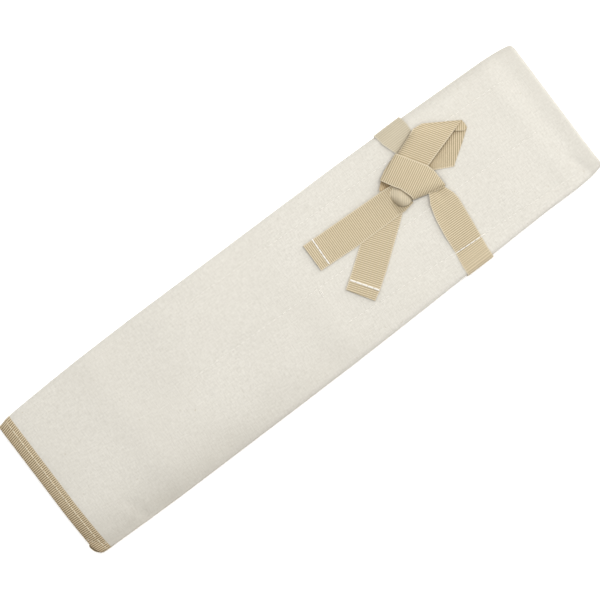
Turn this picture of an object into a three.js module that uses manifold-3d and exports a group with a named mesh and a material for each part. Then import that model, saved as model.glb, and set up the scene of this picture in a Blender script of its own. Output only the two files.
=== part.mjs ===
// Folded canvas knife wallet with tape bindings and a tied tape.
// Millimetres, +Z up. The wallet lies flat: +X points to the plain folded end,
// -X to the bound end, +Y to the fold that the cover turns on. Z = 0 is the
// underside. The stack from below is: base panel, tuck-in flap, cover panel.

import * as THREE from 'three';
import * as BufferGeometryUtils from 'three/addons/utils/BufferGeometryUtils.js';
import Module from 'manifold-3d';

// ---------------------------------------------------------------- dimensions

const HALF_LENGTH = 257.2;        // half of the folded length
const CANVAS = 0.9;               // canvas thickness
const LEAF = 0.4;                 // binding tape thickness
const BIND = 12.5;                // binding width on each face, half of the tape
const TAPE = 0.6;                 // tie tape thickness, with its hem and creases
const TAPE_WIDTH = 25;            // tie tape width
const BEND = 253.0;               // where the pocket bottom starts to turn

// heights of the undersides of the layers
const Z_BASE = 0.0;
const Z_BASE_RIM = 0.5;           // canvas edge inside its binding
const Z_CHANNEL = 0.65;           // groove in the canvas for the tie tape
const Z_BASE_POCKET = 6.2;        // leaves room for a blade in the pocket
const Z_FLAP = 8.4;
const Z_COVER_POCKET = 10.7;
const Z_COVER = 16.5;             // leaves room for a blade in the pocket
const Z_TOP = Z_COVER + CANVAS;   // top face of the cover
const Z_TAPE = 17.6;              // tie tape lying on the cover

// fold axes, parallel to X
const UPPER = { y: 61.0, z: 8.7 };
const LOWER = { y: -64.85, z: 12.9 };
const FOLD_STEPS = 14;

// panel edges across the width
const BASE_EDGE = -69.3;          // free bound edge of the base panel
const FLAP_EDGE = -7.0;           // free bound edge of the tuck-in flap
const POCKET_SPLIT = -3.1;        // divider between deep and shallow pockets
const SEAM = 0.1;                 // gap between abutting pieces

// pocket mouths along the length
const MOUTH_DEEP = -108.6;
const MOUTH_SHALLOW = 12.5;

// tie tape crossings
const TAPE_UPPER_X = 138.0;       // centre of the tape at the upper edge
const TAPE_LOWER_X = 130.0;       // centre of the tape at the lower edge
const WRAP_Y = 70.1;              // outer face of the tape at both edges

// stitch beads
const BEAD_WIDTH = 0.7;
const BEAD_HEIGHT = 0.2;
const BEAD_GAP = 0.02;

// ------------------------------------------------------------------- helpers

const wasm = await Module();
wasm.setup();

function toSolid(geometry) {
  const bare = geometry.clone();
  bare.deleteAttribute('normal');
  bare.deleteAttribute('uv');
  const merged = BufferGeometryUtils.mergeVertices(bare, 1e-5);
  return new wasm.Manifold(new wasm.Mesh({
    numProp: 3,
    vertProperties: new Float32Array(merged.attributes.position.array),
    triVerts: new Uint32Array(merged.index.array),
  }));
}

function toGeometry(solid) {
  const mesh = solid.getMesh();
  const geometry = new THREE.BufferGeometry();
  geometry.setAttribute('position', new THREE.BufferAttribute(new Float32Array(mesh.vertProperties), 3));
  geometry.setIndex(new THREE.BufferAttribute(new Uint32Array(mesh.triVerts), 1));
  geometry.computeVertexNormals();
  return geometry;
}

function union(...geometries) {
  return toGeometry(geometries.map(toSolid).reduce((a, b) => a.add(b)));
}

function cut(geometry, tool) {
  return toGeometry(toSolid(geometry).subtract(toSolid(tool)));
}

// box between two corners
function box(x0, x1, y0, y1, z0, z1) {
  const geometry = new THREE.BoxGeometry(x1 - x0, y1 - y0, z1 - z0);
  geometry.translate((x0 + x1) / 2, (y0 + y1) / 2, (z0 + z1) / 2);
  return geometry;
}

function shapeOf(points) {
  return new THREE.Shape(points.map(([u, v]) => new THREE.Vector2(u, v)));
}

function extrude(points, depth) {
  return new THREE.ExtrudeGeometry(shapeOf(points), { depth, bevelEnabled: false, steps: 1 });
}

// plan outline raised from z0 to z1
function slab(points, z0, z1) {
  const geometry = extrude(points, z1 - z0);
  geometry.translate(0, 0, z0);
  return geometry;
}

// section drawn in (y, z), run along X
function alongX(points, x0, x1) {
  const geometry = extrude(points, x1 - x0);
  geometry.applyMatrix4(new THREE.Matrix4().makeBasis(
    new THREE.Vector3(0, 1, 0), new THREE.Vector3(0, 0, 1), new THREE.Vector3(1, 0, 0)));
  geometry.translate(x0, 0, 0);
  return geometry;
}

// section drawn in (x, z), run along Y
function alongY(points, y0, y1) {
  const geometry = extrude(points, y1 - y0);
  geometry.applyMatrix4(new THREE.Matrix4().makeBasis(
    new THREE.Vector3(1, 0, 0), new THREE.Vector3(0, 0, 1), new THREE.Vector3(0, -1, 0)));
  geometry.translate(0, y1, 0);
  return geometry;
}

// half ring round a fold axis, opening to -Y (side = 1) or to +Y (side = -1)
function halfRing(y, z, inner, outer, side, x0, x1) {
  const points = [];
  for (let i = 0; i <= FOLD_STEPS; i += 1) {
    const a = -Math.PI / 2 + Math.PI * i / FOLD_STEPS;
    points.push([y + side * outer * Math.cos(a), z + outer * Math.sin(a)]);
  }
  for (let i = FOLD_STEPS; i >= 0; i -= 1) {
    const a = -Math.PI / 2 + Math.PI * i / FOLD_STEPS;
    points.push([y + side * inner * Math.cos(a), z + inner * Math.sin(a)]);
  }
  return alongX(points, x0, x1);
}

// rounded end of a turned edge, drawn in (x, z)
function turnedEnd(x0, x1, z0, z1) {
  const r = (z1 - z0) / 2;
  const points = [[x0, z0]];
  for (let i = 0; i <= 8; i += 1) {
    const a = -Math.PI / 2 + Math.PI * i / 8;
    points.push([x1 - r + r * Math.cos(a), z0 + r + r * Math.sin(a)]);
  }
  points.push([x0, z1]);
  return points;
}

// binding folded over an edge: two leaves and a web, drawn in (u, z).
// The web is at u0, and the leaves reach to u1.
function channel(u0, u1, lowLeaf, highLeaf) {
  const s = Math.sign(u1 - u0);
  const web = u0 + s * LEAF;
  return [
    [u0, lowLeaf], [u1, lowLeaf], [u1, lowLeaf + LEAF], [web, lowLeaf + LEAF],
    [web, highLeaf], [u1, highLeaf], [u1, highLeaf + LEAF], [u0, highLeaf + LEAF],
  ];
}

// stitch bead along a straight row
function bead(x0, y0, x1, y1, z) {
  const length = Math.hypot(x1 - x0, y1 - y0);
  const nx = -(y1 - y0) / length * BEAD_WIDTH / 2;
  const ny = (x1 - x0) / length * BEAD_WIDTH / 2;
  return slab([
    [x0 - nx, y0 - ny], [x1 - nx, y1 - ny], [x1 + nx, y1 + ny], [x0 + nx, y0 + ny],
  ], z + BEAD_GAP, z + BEAD_GAP + BEAD_HEIGHT);
}

// stitched line between two layers
function wall(x0, y0, x1, y1, z0, z1) {
  const length = Math.hypot(x1 - x0, y1 - y0);
  const nx = -(y1 - y0) / length * BEAD_WIDTH / 2;
  const ny = (x1 - x0) / length * BEAD_WIDTH / 2;
  return slab([
    [x0 - nx, y0 - ny], [x1 - nx, y1 - ny], [x1 + nx, y1 + ny], [x0 + nx, y0 + ny],
  ], z0, z1);
}

const group = new THREE.Group();

const LOOKS = {
  canvas: { color: 0xe6e1d5, roughness: 0.92, metalness: 0 },
  tape: { color: 0xd0bf9b, roughness: 0.8, metalness: 0 },
  thread: { color: 0xf4efe2, roughness: 0.7, metalness: 0 },
};

function piece(name, look, geometry) {
  const mesh = new THREE.Mesh(geometry, new THREE.MeshStandardMaterial(LOOKS[look]));
  mesh.name = name;
  group.add(mesh);
}

// ---------------------------------------------------------------- base panel

const L = HALF_LENGTH;
const EDGE = UPPER.y - SEAM;                    // panels stop short of the upper fold
const LOW = LOWER.y + SEAM;                     // and of the lower fold
const RIM = -L + BIND + LEAF;                   // inner end of the rim at the bound end

const tapeUnder = [
  [TAPE_LOWER_X - TAPE_WIDTH / 2, BASE_EDGE], [TAPE_LOWER_X + TAPE_WIDTH / 2, BASE_EDGE],
  [TAPE_UPPER_X + TAPE_WIDTH / 2, EDGE], [TAPE_UPPER_X - TAPE_WIDTH / 2, EDGE],
];
const tapePath = [
  [TAPE_LOWER_X - TAPE_WIDTH / 2 - 1.2, BASE_EDGE - 1], [TAPE_LOWER_X + TAPE_WIDTH / 2 + 1.0, BASE_EDGE - 1],
  [TAPE_UPPER_X + TAPE_WIDTH / 2 + 1.2, EDGE + 1], [TAPE_UPPER_X - TAPE_WIDTH / 2 - 1.0, EDGE + 1],
];
const tapeChannel = slab(tapePath, -1, Z_CHANNEL);

const sideInner = BASE_EDGE + BIND;             // inner edge of the side binding

// canvas: flat on the ground, stepped up into its bindings, grooved for the tape
piece('base_canvas', 'canvas', cut(union(
  box(RIM, BEND, sideInner + LEAF, EDGE, Z_BASE, Z_BASE + CANVAS),
  box(-L + LEAF + SEAM, RIM + 0.6, BASE_EDGE + LEAF + SEAM, EDGE, Z_BASE_RIM, Z_BASE_RIM + CANVAS),
  box(RIM, BEND, BASE_EDGE + LEAF + SEAM, sideInner + LEAF + 0.6, Z_BASE_RIM, Z_BASE_RIM + CANVAS),
), tapeChannel));

// pocket layer: it slopes down at its side, where it is sewn into the binding
const sideZ = Z_BASE_RIM + CANVAS + SEAM;       // pocket edge on the canvas edge
piece('base_pocket_layer', 'canvas', alongX([
  [BASE_EDGE + LEAF + SEAM, sideZ], [sideInner + 0.9, sideZ], [sideInner + 5.6, Z_BASE_POCKET],
  [EDGE, Z_BASE_POCKET], [EDGE, Z_BASE_POCKET + CANVAS], [sideInner + 5.1, Z_BASE_POCKET + CANVAS],
  [sideInner + 0.3, sideZ + CANVAS], [BASE_EDGE + LEAF + SEAM, sideZ + CANVAS],
], MOUTH_DEEP + LEAF + SEAM, BEND));
piece('base_pocket_fold', 'canvas',
  alongY(turnedEnd(BEND + SEAM, L, Z_BASE, Z_BASE_POCKET + CANVAS), sideInner + LEAF, EDGE));

piece('base_top_binding', 'tape',
  alongY(channel(-L, -L + BIND, Z_BASE, 1.5), sideInner + SEAM, EDGE));
piece('base_side_binding', 'tape',
  cut(alongX(channel(BASE_EDGE, sideInner, Z_BASE, 2.5), -L, L - 0.2), tapeChannel));
piece('base_mouth_binding', 'tape',
  alongY(channel(MOUTH_DEEP, MOUTH_DEEP + BIND, 5.7, 7.2), sideInner + 6.5, EDGE));

// pocket dividers: stitched lines that hold the two layers together
piece('base_stitch_1', 'thread', wall(MOUTH_DEEP + BIND + 1, 36.9, 236, 36.9, 1.0, 6.1));
piece('base_stitch_2', 'thread', wall(MOUTH_DEEP + BIND + 1, -10.5, 236, -10.5, 1.0, 6.1));
piece('base_top_stitch', 'thread', bead(-L + 7.5, sideInner + 1, -L + 7.5, EDGE - 1, 1.9));
piece('base_side_stitch', 'thread', bead(-L + 2, BASE_EDGE + 7.5, L - 2, BASE_EDGE + 7.5, 2.9));

// --------------------------------------------------------- rolls of the upper fold

const FOLD_RIM = 8.95;                          // fold centre height at the bound end
const FOLD_POCKET = 8.9;                        // fold centre height of the pocket layer
const FOLD_TAPE = 9.05;                         // fold centre height under the tape

piece('upper_fold_canvas', 'canvas', union(
  halfRing(UPPER.y, FOLD_RIM, 7.55, 8.45, 1, -L + LEAF + SEAM, RIM + 0.6),
  halfRing(UPPER.y, UPPER.z, UPPER.z - CANVAS, UPPER.z, 1, RIM, TAPE_UPPER_X - TAPE_WIDTH / 2 - 0.6),
  halfRing(UPPER.y, FOLD_TAPE, 7.45, 8.35, 1, TAPE_UPPER_X - TAPE_WIDTH / 2 - 1.2, TAPE_UPPER_X + TAPE_WIDTH / 2 + 1.2),
  halfRing(UPPER.y, UPPER.z, UPPER.z - CANVAS, UPPER.z, 1, TAPE_UPPER_X + TAPE_WIDTH / 2 + 0.6, L - 0.2),
));
piece('upper_fold_pocket', 'canvas',
  halfRing(UPPER.y, FOLD_POCKET, 1.8, 2.7, 1, MOUTH_DEEP + LEAF + SEAM, L - 1.5));
piece('upper_fold_binding', 'tape', union(
  halfRing(UPPER.y, FOLD_RIM, 8.55, 8.95, 1, -L, -L + BIND),
  halfRing(UPPER.y, FOLD_RIM, 7.05, 7.45, 1, -L, -L + BIND),
  halfRing(UPPER.y, FOLD_RIM, 7.05, 8.95, 1, -L, -L + LEAF),
));
piece('upper_fold_mouth_binding', 'tape', union(
  halfRing(UPPER.y, FOLD_POCKET, 2.8, 3.2, 1, MOUTH_DEEP, MOUTH_DEEP + BIND),
  halfRing(UPPER.y, FOLD_POCKET, 1.3, 1.7, 1, MOUTH_DEEP, MOUTH_DEEP + BIND),
  halfRing(UPPER.y, FOLD_POCKET, 1.3, 3.2, 1, MOUTH_DEEP, MOUTH_DEEP + LEAF),
));

// --------------------------------------------------------------- cover panel

piece('cover_canvas', 'canvas', box(-L + LEAF + SEAM, BEND, LOW, EDGE, Z_COVER, Z_TOP));
piece('cover_pocket_deep', 'canvas',
  box(MOUTH_DEEP + LEAF + SEAM, BEND, POCKET_SPLIT + SEAM, EDGE, Z_COVER_POCKET, Z_COVER_POCKET + CANVAS));
piece('cover_pocket_shallow', 'canvas',
  box(MOUTH_SHALLOW + LEAF + SEAM, BEND, LOW + 2, POCKET_SPLIT - SEAM, Z_COVER_POCKET, Z_COVER_POCKET + CANVAS));
piece('cover_pocket_fold', 'canvas',
  alongY(turnedEnd(BEND + SEAM, L, Z_COVER_POCKET, Z_TOP), LOW, EDGE));

piece('cover_top_binding', 'tape',
  alongY(channel(-L, -L + BIND, Z_COVER - SEAM - LEAF, Z_TOP + SEAM), LOW, EDGE));
piece('cover_mouth_binding_deep', 'tape',
  alongY(channel(MOUTH_DEEP, MOUTH_DEEP + BIND, 10.2, 11.7), POCKET_SPLIT + SEAM, EDGE));
piece('cover_mouth_binding_shallow', 'tape',
  alongY(channel(MOUTH_SHALLOW, MOUTH_SHALLOW + BIND, 10.2, 11.7), LOW + 2, POCKET_SPLIT - SEAM));

// pocket dividers: they lean a little to the length, as sewn
const ROW_LOW = 12.2;
const ROW_HIGH = Z_COVER - SEAM;
piece('cover_stitch_1', 'thread', wall(-81.1, 51.7, 234.1, 41.2, ROW_LOW, ROW_HIGH));
piece('cover_stitch_2', 'thread', wall(-95.0, -0.1, 232.2, -8.4, ROW_LOW, ROW_HIGH));
piece('cover_stitch_3', 'thread', wall(16.0, -39.2, 236.4, -55.4, ROW_LOW, ROW_HIGH));
piece('cover_bar_stitch', 'thread', bead(13.6, -12.2, 14.4, -4.6, Z_TOP));
piece('cover_top_stitch', 'thread', bead(-L + 7.5, LOW + 1, -L + 7.5, EDGE - 1, Z_TOP + SEAM + LEAF));

// --------------------------------------------------------- rolls of the lower fold

piece('lower_fold_canvas', 'canvas',
  halfRing(LOWER.y, LOWER.z, 3.6, 4.5, -1, -L + LEAF + SEAM, L - 0.2));
piece('lower_fold_binding', 'tape', union(
  halfRing(LOWER.y, LOWER.z, 4.6, 5.0, -1, -L, -L + BIND),
  halfRing(LOWER.y, LOWER.z, 3.1, 3.5, -1, -L, -L + BIND),
  halfRing(LOWER.y, LOWER.z, 3.1, 5.0, -1, -L, -L + LEAF),
));

// -------------------------------------------------------------- tuck-in flap

piece('flap_canvas', 'canvas',
  box(-L + LEAF + SEAM, BEND, LOW, FLAP_EDGE - LEAF - SEAM, Z_FLAP, Z_FLAP + CANVAS));
piece('flap_top_binding', 'tape',
  alongY(channel(-L, -L + BIND, Z_FLAP - SEAM - LEAF, Z_FLAP + CANVAS + SEAM), LOW, FLAP_EDGE - BIND - SEAM));
piece('flap_side_binding', 'tape',
  alongX(channel(FLAP_EDGE, FLAP_EDGE - BIND, Z_FLAP - SEAM - LEAF, Z_FLAP + CANVAS + SEAM), -L, 239.5));
piece('flap_end_hem', 'canvas', union(
  alongY(turnedEnd(BEND + SEAM, L, Z_FLAP, Z_FLAP + 2 * CANVAS + SEAM), LOW, FLAP_EDGE - 0.3),
  box(240, BEND + 1, LOW, FLAP_EDGE - 0.3, Z_FLAP + CANVAS + SEAM, Z_FLAP + 2 * CANVAS + SEAM),
));
piece('flap_top_stitch', 'thread',
  bead(-L + 7.5, LOW + 1, -L + 7.5, FLAP_EDGE - BIND - 1, Z_FLAP + CANVAS + SEAM + LEAF));
piece('flap_side_stitch', 'thread',
  bead(-L + 2, FLAP_EDGE - 7.5, 238, FLAP_EDGE - 7.5, Z_FLAP + CANVAS + SEAM + LEAF));

// ------------------------------------------------------------------ tie tape

piece('tie_back_run', 'tape', slab(tapeUnder, 0, TAPE));
piece('tie_wrap_upper', 'tape', halfRing(
  UPPER.y, 9.1, 8.5, 9.1, 1, TAPE_UPPER_X - TAPE_WIDTH / 2, TAPE_UPPER_X + TAPE_WIDTH / 2));
piece('tie_wrap_lower', 'tape', alongX([
  [-64.0, Z_TAPE], [-64.0, Z_TAPE + TAPE], [-WRAP_Y + 1.5, Z_TAPE + TAPE], [-WRAP_Y, Z_TAPE + TAPE - 1.5],
  [-WRAP_Y, 0.1], [-WRAP_Y + TAPE, 0.1], [-WRAP_Y + TAPE, Z_TAPE - 1.2], [-WRAP_Y + 1.9, Z_TAPE],
], TAPE_LOWER_X - TAPE_WIDTH / 2, TAPE_LOWER_X + TAPE_WIDTH / 2));

piece('tie_front_lower', 'tape', slab([
  [117.8, -63.9], [142.8, -63.9], [145.4, -47.0], [149.8, -20.5], [149.4, -8.0],
  [144.0, 1.0], [133.0, 1.0], [127.1, -4.1], [123.6, -15.9], [120.6, -47.0],
], Z_TAPE, Z_TAPE + TAPE));
piece('tie_anchor_stitch', 'thread', bead(121.4, -48.0, 144.6, -48.6, Z_TAPE + TAPE));
piece('tie_front_upper', 'tape', slab([
  [TAPE_UPPER_X - TAPE_WIDTH / 2, EDGE], [131.0, 36.0], [147.0, 36.0], [152.0, 56.0],
  [TAPE_UPPER_X + TAPE_WIDTH / 2, EDGE],
], Z_TAPE, Z_TAPE + TAPE));

// knot: the crossed runs at its core, and the turn that wraps them
piece('knot_core', 'tape', slab([
  [105.4, 18.8], [106.4, 12.2], [111.5, 8.2], [119.6, 7.8], [132.0, 6.0], [138.0, 16.0],
  [132.0, 30.0], [120.0, 32.0], [112.0, 30.0], [106.2, 24.0],
], Z_TAPE, Z_TAPE + 2.4));
piece('knot_wrap', 'tape', slab([
  [129.9, 46.4], [114.4, 40.9], [107.3, 36.9], [112.2, 26.9], [116.0, 20.9], [119.1, 11.3],
  [119.3, 7.5], [144.5, 0.9], [147.1, 1.6], [146.2, 16.3], [145.0, 22.4],
], Z_TAPE + 2.5, Z_TAPE + 4.1));

// bow loop: upper and under layer joined at the far fold
piece('bow_loop', 'tape', union(
  slab([[131.1, 46.4], [145.8, 22.8], [189.7, 35.8], [162.2, 53.0], [154.0, 54.0]],
    Z_TAPE + 1.9, Z_TAPE + 2.5),
  slab([[150.8, 16.2], [162.9, 8.8], [172.7, 17.5], [185.2, 25.7], [189.6, 28.1], [189.7, 35.8], [172.0, 33.4]],
    Z_TAPE + 0.7, Z_TAPE + 1.3),
  slab([[172.0, 32.0], [186.0, 33.5], [189.7, 35.8], [184.0, 39.0], [172.0, 37.0]],
    Z_TAPE + 0.7, Z_TAPE + 2.5),
));

piece('tail_long', 'tape', slab([
  [100.5, 28.9], [25.3, 32.1], [25.1, 7.2], [63.2, 4.9], [100.5, 4.6],
], Z_TAPE + 0.7, Z_TAPE + 0.7 + TAPE));
piece('tail_long_hem_stitch', 'thread', bead(34.0, 8.2, 34.5, 31.2, Z_TAPE + 0.7 + TAPE));

piece('tail_short', 'tape', slab([
  [62.5, 4.0], [31.6, -17.2], [45.3, -39.3], [53.5, -34.6], [97.3, -2.3], [103.0, 3.0], [103.6, 4.0],
], Z_TAPE, Z_TAPE + TAPE));
piece('tail_short_hem_stitch', 'thread', bead(40.2, -15.6, 53.0, -33.9, Z_TAPE + TAPE));

export default group;
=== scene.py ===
import math

import bpy
import bmesh
import numpy as np
from mathutils import Matrix


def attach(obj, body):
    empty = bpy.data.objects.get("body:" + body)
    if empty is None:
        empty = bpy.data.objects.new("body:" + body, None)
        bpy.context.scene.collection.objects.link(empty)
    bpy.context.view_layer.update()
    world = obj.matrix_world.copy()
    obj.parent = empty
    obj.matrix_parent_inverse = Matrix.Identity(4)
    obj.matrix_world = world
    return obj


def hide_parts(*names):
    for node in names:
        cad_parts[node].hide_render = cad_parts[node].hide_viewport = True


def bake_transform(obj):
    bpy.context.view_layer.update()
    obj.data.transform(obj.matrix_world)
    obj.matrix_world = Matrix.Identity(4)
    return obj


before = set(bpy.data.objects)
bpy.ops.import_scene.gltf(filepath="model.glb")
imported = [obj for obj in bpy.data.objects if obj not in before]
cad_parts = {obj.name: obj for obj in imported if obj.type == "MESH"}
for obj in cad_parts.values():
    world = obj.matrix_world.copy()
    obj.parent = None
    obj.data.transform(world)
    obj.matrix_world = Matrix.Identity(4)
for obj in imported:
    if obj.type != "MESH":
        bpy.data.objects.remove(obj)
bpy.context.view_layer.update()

# Everything below is worked out in millimetres in the part's own frame and
# scaled to metres when a mesh is made.
MM = 0.001

# ------------------------------------------------------------------ dimensions

HALF = 257.2                    # half length
CANVAS = 0.9
BIND = 12.5                     # binding width on a face
RIB = 1.67                      # rib pitch of the tape
UP_Y, UP_Z, UP_R = 61.0, 8.7, 8.7        # upper fold: centre and outer radius
LO_Y, LO_Z, LO_R = -64.85, 12.9, 4.5     # lower fold
TOP = 17.4                      # outer face of the cover
FLAP = 8.4                      # outer (lower) face of the flap
JOIN_Y = -57.0                  # the two canvas pieces meet here on the cover
ROW_1 = [(-81.1, 51.7), (234.1, 41.2)]
ROW_2 = [(-110.9, 0.3), (232.2, -8.4)]
ROW_3 = [(16.0, -39.6), (57.7, -42.3), (236.4, -55.4)]
BASE_ROWS = (36.9, -10.5)


def smooth(a, b, x):
    t = np.clip((np.asarray(x, float) - a) / (b - a), 0, 1)
    return t * t * (3 - 2 * t)


XS = np.arange(-264.0, 265.0, 1.0)


def curve(pairs, sigma):
    """A table of x to value, rounded off at its corners."""
    xs, ys = zip(*pairs)
    raw = np.interp(XS, xs, ys)
    n = int(3 * sigma)
    k = np.exp(-0.5 * (np.arange(-n, n + 1) / sigma) ** 2)
    k /= k.sum()
    ends = np.r_[2 * raw[0] - raw[n:0:-1], raw, 2 * raw[-1] - raw[-2:-n - 2:-1]]
    soft = np.convolve(ends, k, "valid")
    return lambda x: np.interp(x, XS, soft)


# half widths of the folded wallet along its length
upper_edge = curve([(-264, 62.6), (-258, 63.9), (-246, 66.9), (-208, 68.6), (-175, 69.6), (-126, 70.0), (-45, 69.4),
                    (4, 69.1), (85, 68.6), (150, 67.2), (199, 65.5), (231, 64.4), (247, 63.0), (257, 60.9), (264, 59)], 3)
lower_edge = curve([(-264, 66.6), (-258, 67.4), (-245, 68.6), (-208, 69.5), (-175, 70.0), (-45, 69.8), (4, 69.5),
                    (36, 69.0), (85, 68.1), (150, 66.5), (199, 65.3), (231, 65.6), (247, 64.6), (257, 62.2), (264, 60)], 3)
# how far the cover drops along the length, in millimetres
drop_end = curve([(-264, 5.2), (-260, 4.6), (-257, 3.7), (-254, 2.9), (-250, 2.2), (-246, 1.8), (-205, 1.35), (-140, 0.6), (-95, 0.0),
                  (240, 0.0), (252, 0.0), (259, 0.10), (264, 0.2)], 1.5)
INSIDE = 9.6                    # base, pocket and flap lie flat up to here, and the cover settles on them


def fallen(x, y):
    """The long edges lie lower than the middle: the lower one towards the bound end, the upper one by the plain end."""
    low = (0.30 + 0.70 * smooth(20, -190, x)) * smooth(150, 60, x) * np.clip((-22 - y) / 47, 0, 1) ** 2.3
    high = smooth(105, 200, x) * np.clip((y - 52) / 14, 0, 1) ** 2
    return np.minimum(drop_end(x) + 5.4 * low + 3.2 * high, 6.1)


def to_row(x, y, row):
    """Distance from a stitch row and the place along it, with 1 inside its ends."""
    best = np.full(np.shape(x), 1e9)
    for (x0, y0), (x1, y1) in zip(row[:-1], row[1:]):
        dx, dy = x1 - x0, y1 - y0
        t = np.clip(((x - x0) * dx + (y - y0) * dy) / (dx * dx + dy * dy), 0, 1)
        best = np.minimum(best, np.hypot(x - x0 - t * dx, y - y0 - t * dy))
    return best


def relief(x, y):
    """Soft shape of the cover's face: sewn rows, the pocket mouths showing through, the ridge by the plain end."""
    h = np.zeros(np.shape(x))
    for row in (ROW_1, ROW_2, ROW_3):
        d = to_row(x, y, row)
        h -= 0.18 * np.exp(-(d / 1.35) ** 2) + 0.30 * np.exp(-(d / 8.0) ** 2)
    low = smooth(2, -8, y) * smooth(-70, -58, y)
    h -= 0.85 * low * (1 - smooth(-17, 6, x)) * smooth(-150, -60, x)
    h += 0.18 * low * np.exp(-((x - 10) / 5.5) ** 2)
    h -= 0.55 * (1 - smooth(-195, -173, x)) * smooth(-250, -205, x)
    h += 0.12 * np.exp(-((x + 170) / 6.0) ** 2)
    d = to_row(x, y, [(-216, -41), (-206.5, -70)])
    h -= 0.75 * np.exp(-(d / 3.6) ** 2) * smooth(-36, -52, y)
    high = smooth(-6, 6, y)
    h -= 0.32 * high * (1 - smooth(-132, -104, x)) * smooth(-230, -150, x)
    h += 0.42 * np.exp(-((x - 227.5) / 6.5) ** 2) - 0.56 * np.exp(-((x - 243.5) / 6.5) ** 2)
    h -= 0.55 * np.exp(-(to_row(x, y, [(243, -46), (249, -66)]) / 3.0) ** 2)
    return h


def swell(x, y):
    """Slow unevenness of the lying cloth."""
    return (0.26 * np.sin(x / 31.0 + 0.9) * np.cos(y / 27.0 + 0.4)
            + 0.20 * np.sin(x / 17.0 - y / 23.0 + 2.1)
            + 0.15 * np.sin(x / 9.5 + y / 15.0 + 0.3) * np.sin(y / 19.0 + 1.0))


def lift(x, y, z):
    z = np.asarray(z, float)
    k = 1 - fallen(x, y) / (TOP - INSIDE)
    return np.minimum(z, INSIDE) + np.maximum(z - INSIDE, 0) * k + (relief(x, y) + swell(x, y)) * smooth(9.9, 15.5, z)


def top(x, y):
    return lift(x, y, np.full(np.shape(x), TOP))


def taper(p):
    """Plan shape: the wallet narrows to the plain end, and its bound end leans a little."""
    p = np.array(p, float)
    x, y = p[..., 0].copy(), p[..., 1].copy()
    # the upper fold is pressed flatter towards the bound end, the lower one towards the plain end
    u = np.clip((y - UP_Y) / UP_R, 1e-6, None)
    v = np.clip((LO_Y - y) / LO_R, 1e-6, None)
    y = np.where(y > UP_Y, UP_Y + UP_R * u ** (0.58 + 0.42 * smooth(70, 190, x)), y)
    y = np.where(y < LO_Y, LO_Y - LO_R * v ** (0.95 - 0.40 * smooth(40, 170, x)), y)
    share = smooth(-28, 28, y)
    k = share * upper_edge(x) / 69.7 + (1 - share) * lower_edge(x) / 69.35
    p[..., 1] = y * k
    lean = 3.3 - 1.1 * np.clip((-20 - y) / 40, 0, 1.2) ** 1.5
    p[..., 0] = x - lean * smooth(-150, -257, x) + (2.2 + 0.2 * y / 60) * smooth(150, 257, x)
    p[..., 0] += 2.8 * np.clip((-57 - y) / 12, 0, 1.1) ** 2 * smooth(-242, -257, x)
    return p


def settle(p):
    p = np.array(p, float)
    p[..., 2] = lift(p[..., 0], p[..., 1], p[..., 2])
    return p


def laid(p):
    return settle(taper(p))


# ---------------------------------------------------------------- mesh making

def new_object(name, verts, faces, uv, material, sharp=42):
    mesh = bpy.data.meshes.new(name)
    mesh.from_pydata([tuple(v) for v in np.asarray(verts, float) * MM], [], [tuple(int(i) for i in f) for f in faces])
    layer = mesh.uv_layers.new(name="UVMap")
    index = np.zeros(len(mesh.loops), np.int32)
    mesh.loops.foreach_get("vertex_index", index)
    layer.data.foreach_set("uv", np.asarray(uv, np.float32)[index].ravel())
    bm = bmesh.new()
    bm.from_mesh(mesh)
    bmesh.ops.recalc_face_normals(bm, faces=bm.faces[:])
    bm.to_mesh(mesh)
    bm.free()
    mesh.polygons.foreach_set("use_smooth", np.ones(len(mesh.polygons), bool))
    mesh.set_sharp_from_angle(angle=math.radians(sharp))
    mesh.materials.append(material)
    o = bpy.data.objects.new(name, mesh)
    bpy.context.scene.collection.objects.link(o)
    return o


def two_faced(p, q, uv):
    """Vertices and faces of a closed sheet between an outer grid p and an inner grid q."""
    nu, nv = p.shape[:2]
    verts = np.concatenate([p.reshape(-1, 3), q.reshape(-1, 3)])
    uvs = np.concatenate([uv.reshape(-1, 2), uv.reshape(-1, 2)])
    n = nu * nv
    i = np.arange(nu - 1)[:, None] * nv + np.arange(nv - 1)[None, :]
    a = np.stack([i, i + nv, i + nv + 1, i + 1], -1).reshape(-1, 4)
    faces = [a, a[:, ::-1] + n]
    ring = np.concatenate([np.arange(nv - 1), np.arange(nu - 1) * nv + nv - 1,
                           (nu - 1) * nv + np.arange(nv - 1, 0, -1), np.arange(nu - 1, 0, -1) * nv])
    nxt = np.roll(ring, -1)
    faces.append(np.stack([ring, nxt, nxt + n, ring + n], -1))
    return verts, np.concatenate(faces), uvs


def grid_sheet(name, p, q, uv, material, sharp=42):
    verts, faces, uvs = two_faced(p, q, uv)
    return new_object(name, verts, faces, uvs, material, sharp)


def several(name, parts, material, sharp=42):
    """One object from several closed sheets."""
    verts, faces, uvs, base = [], [], [], 0
    for v, f, t in parts:
        verts.append(v)
        faces.append(np.asarray(f) + base)
        uvs.append(t)
        base += len(v)
    return new_object(name, np.concatenate(verts), np.concatenate(faces), np.concatenate(uvs), material, sharp)


def weights(o):
    """Bakes o's transform into its mesh."""
    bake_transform(o)


def run_length(p):
    return np.r_[0, np.cumsum(np.linalg.norm(np.diff(p, axis=0), axis=1))]


# ------------------------------------------------------------------ materials

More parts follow.
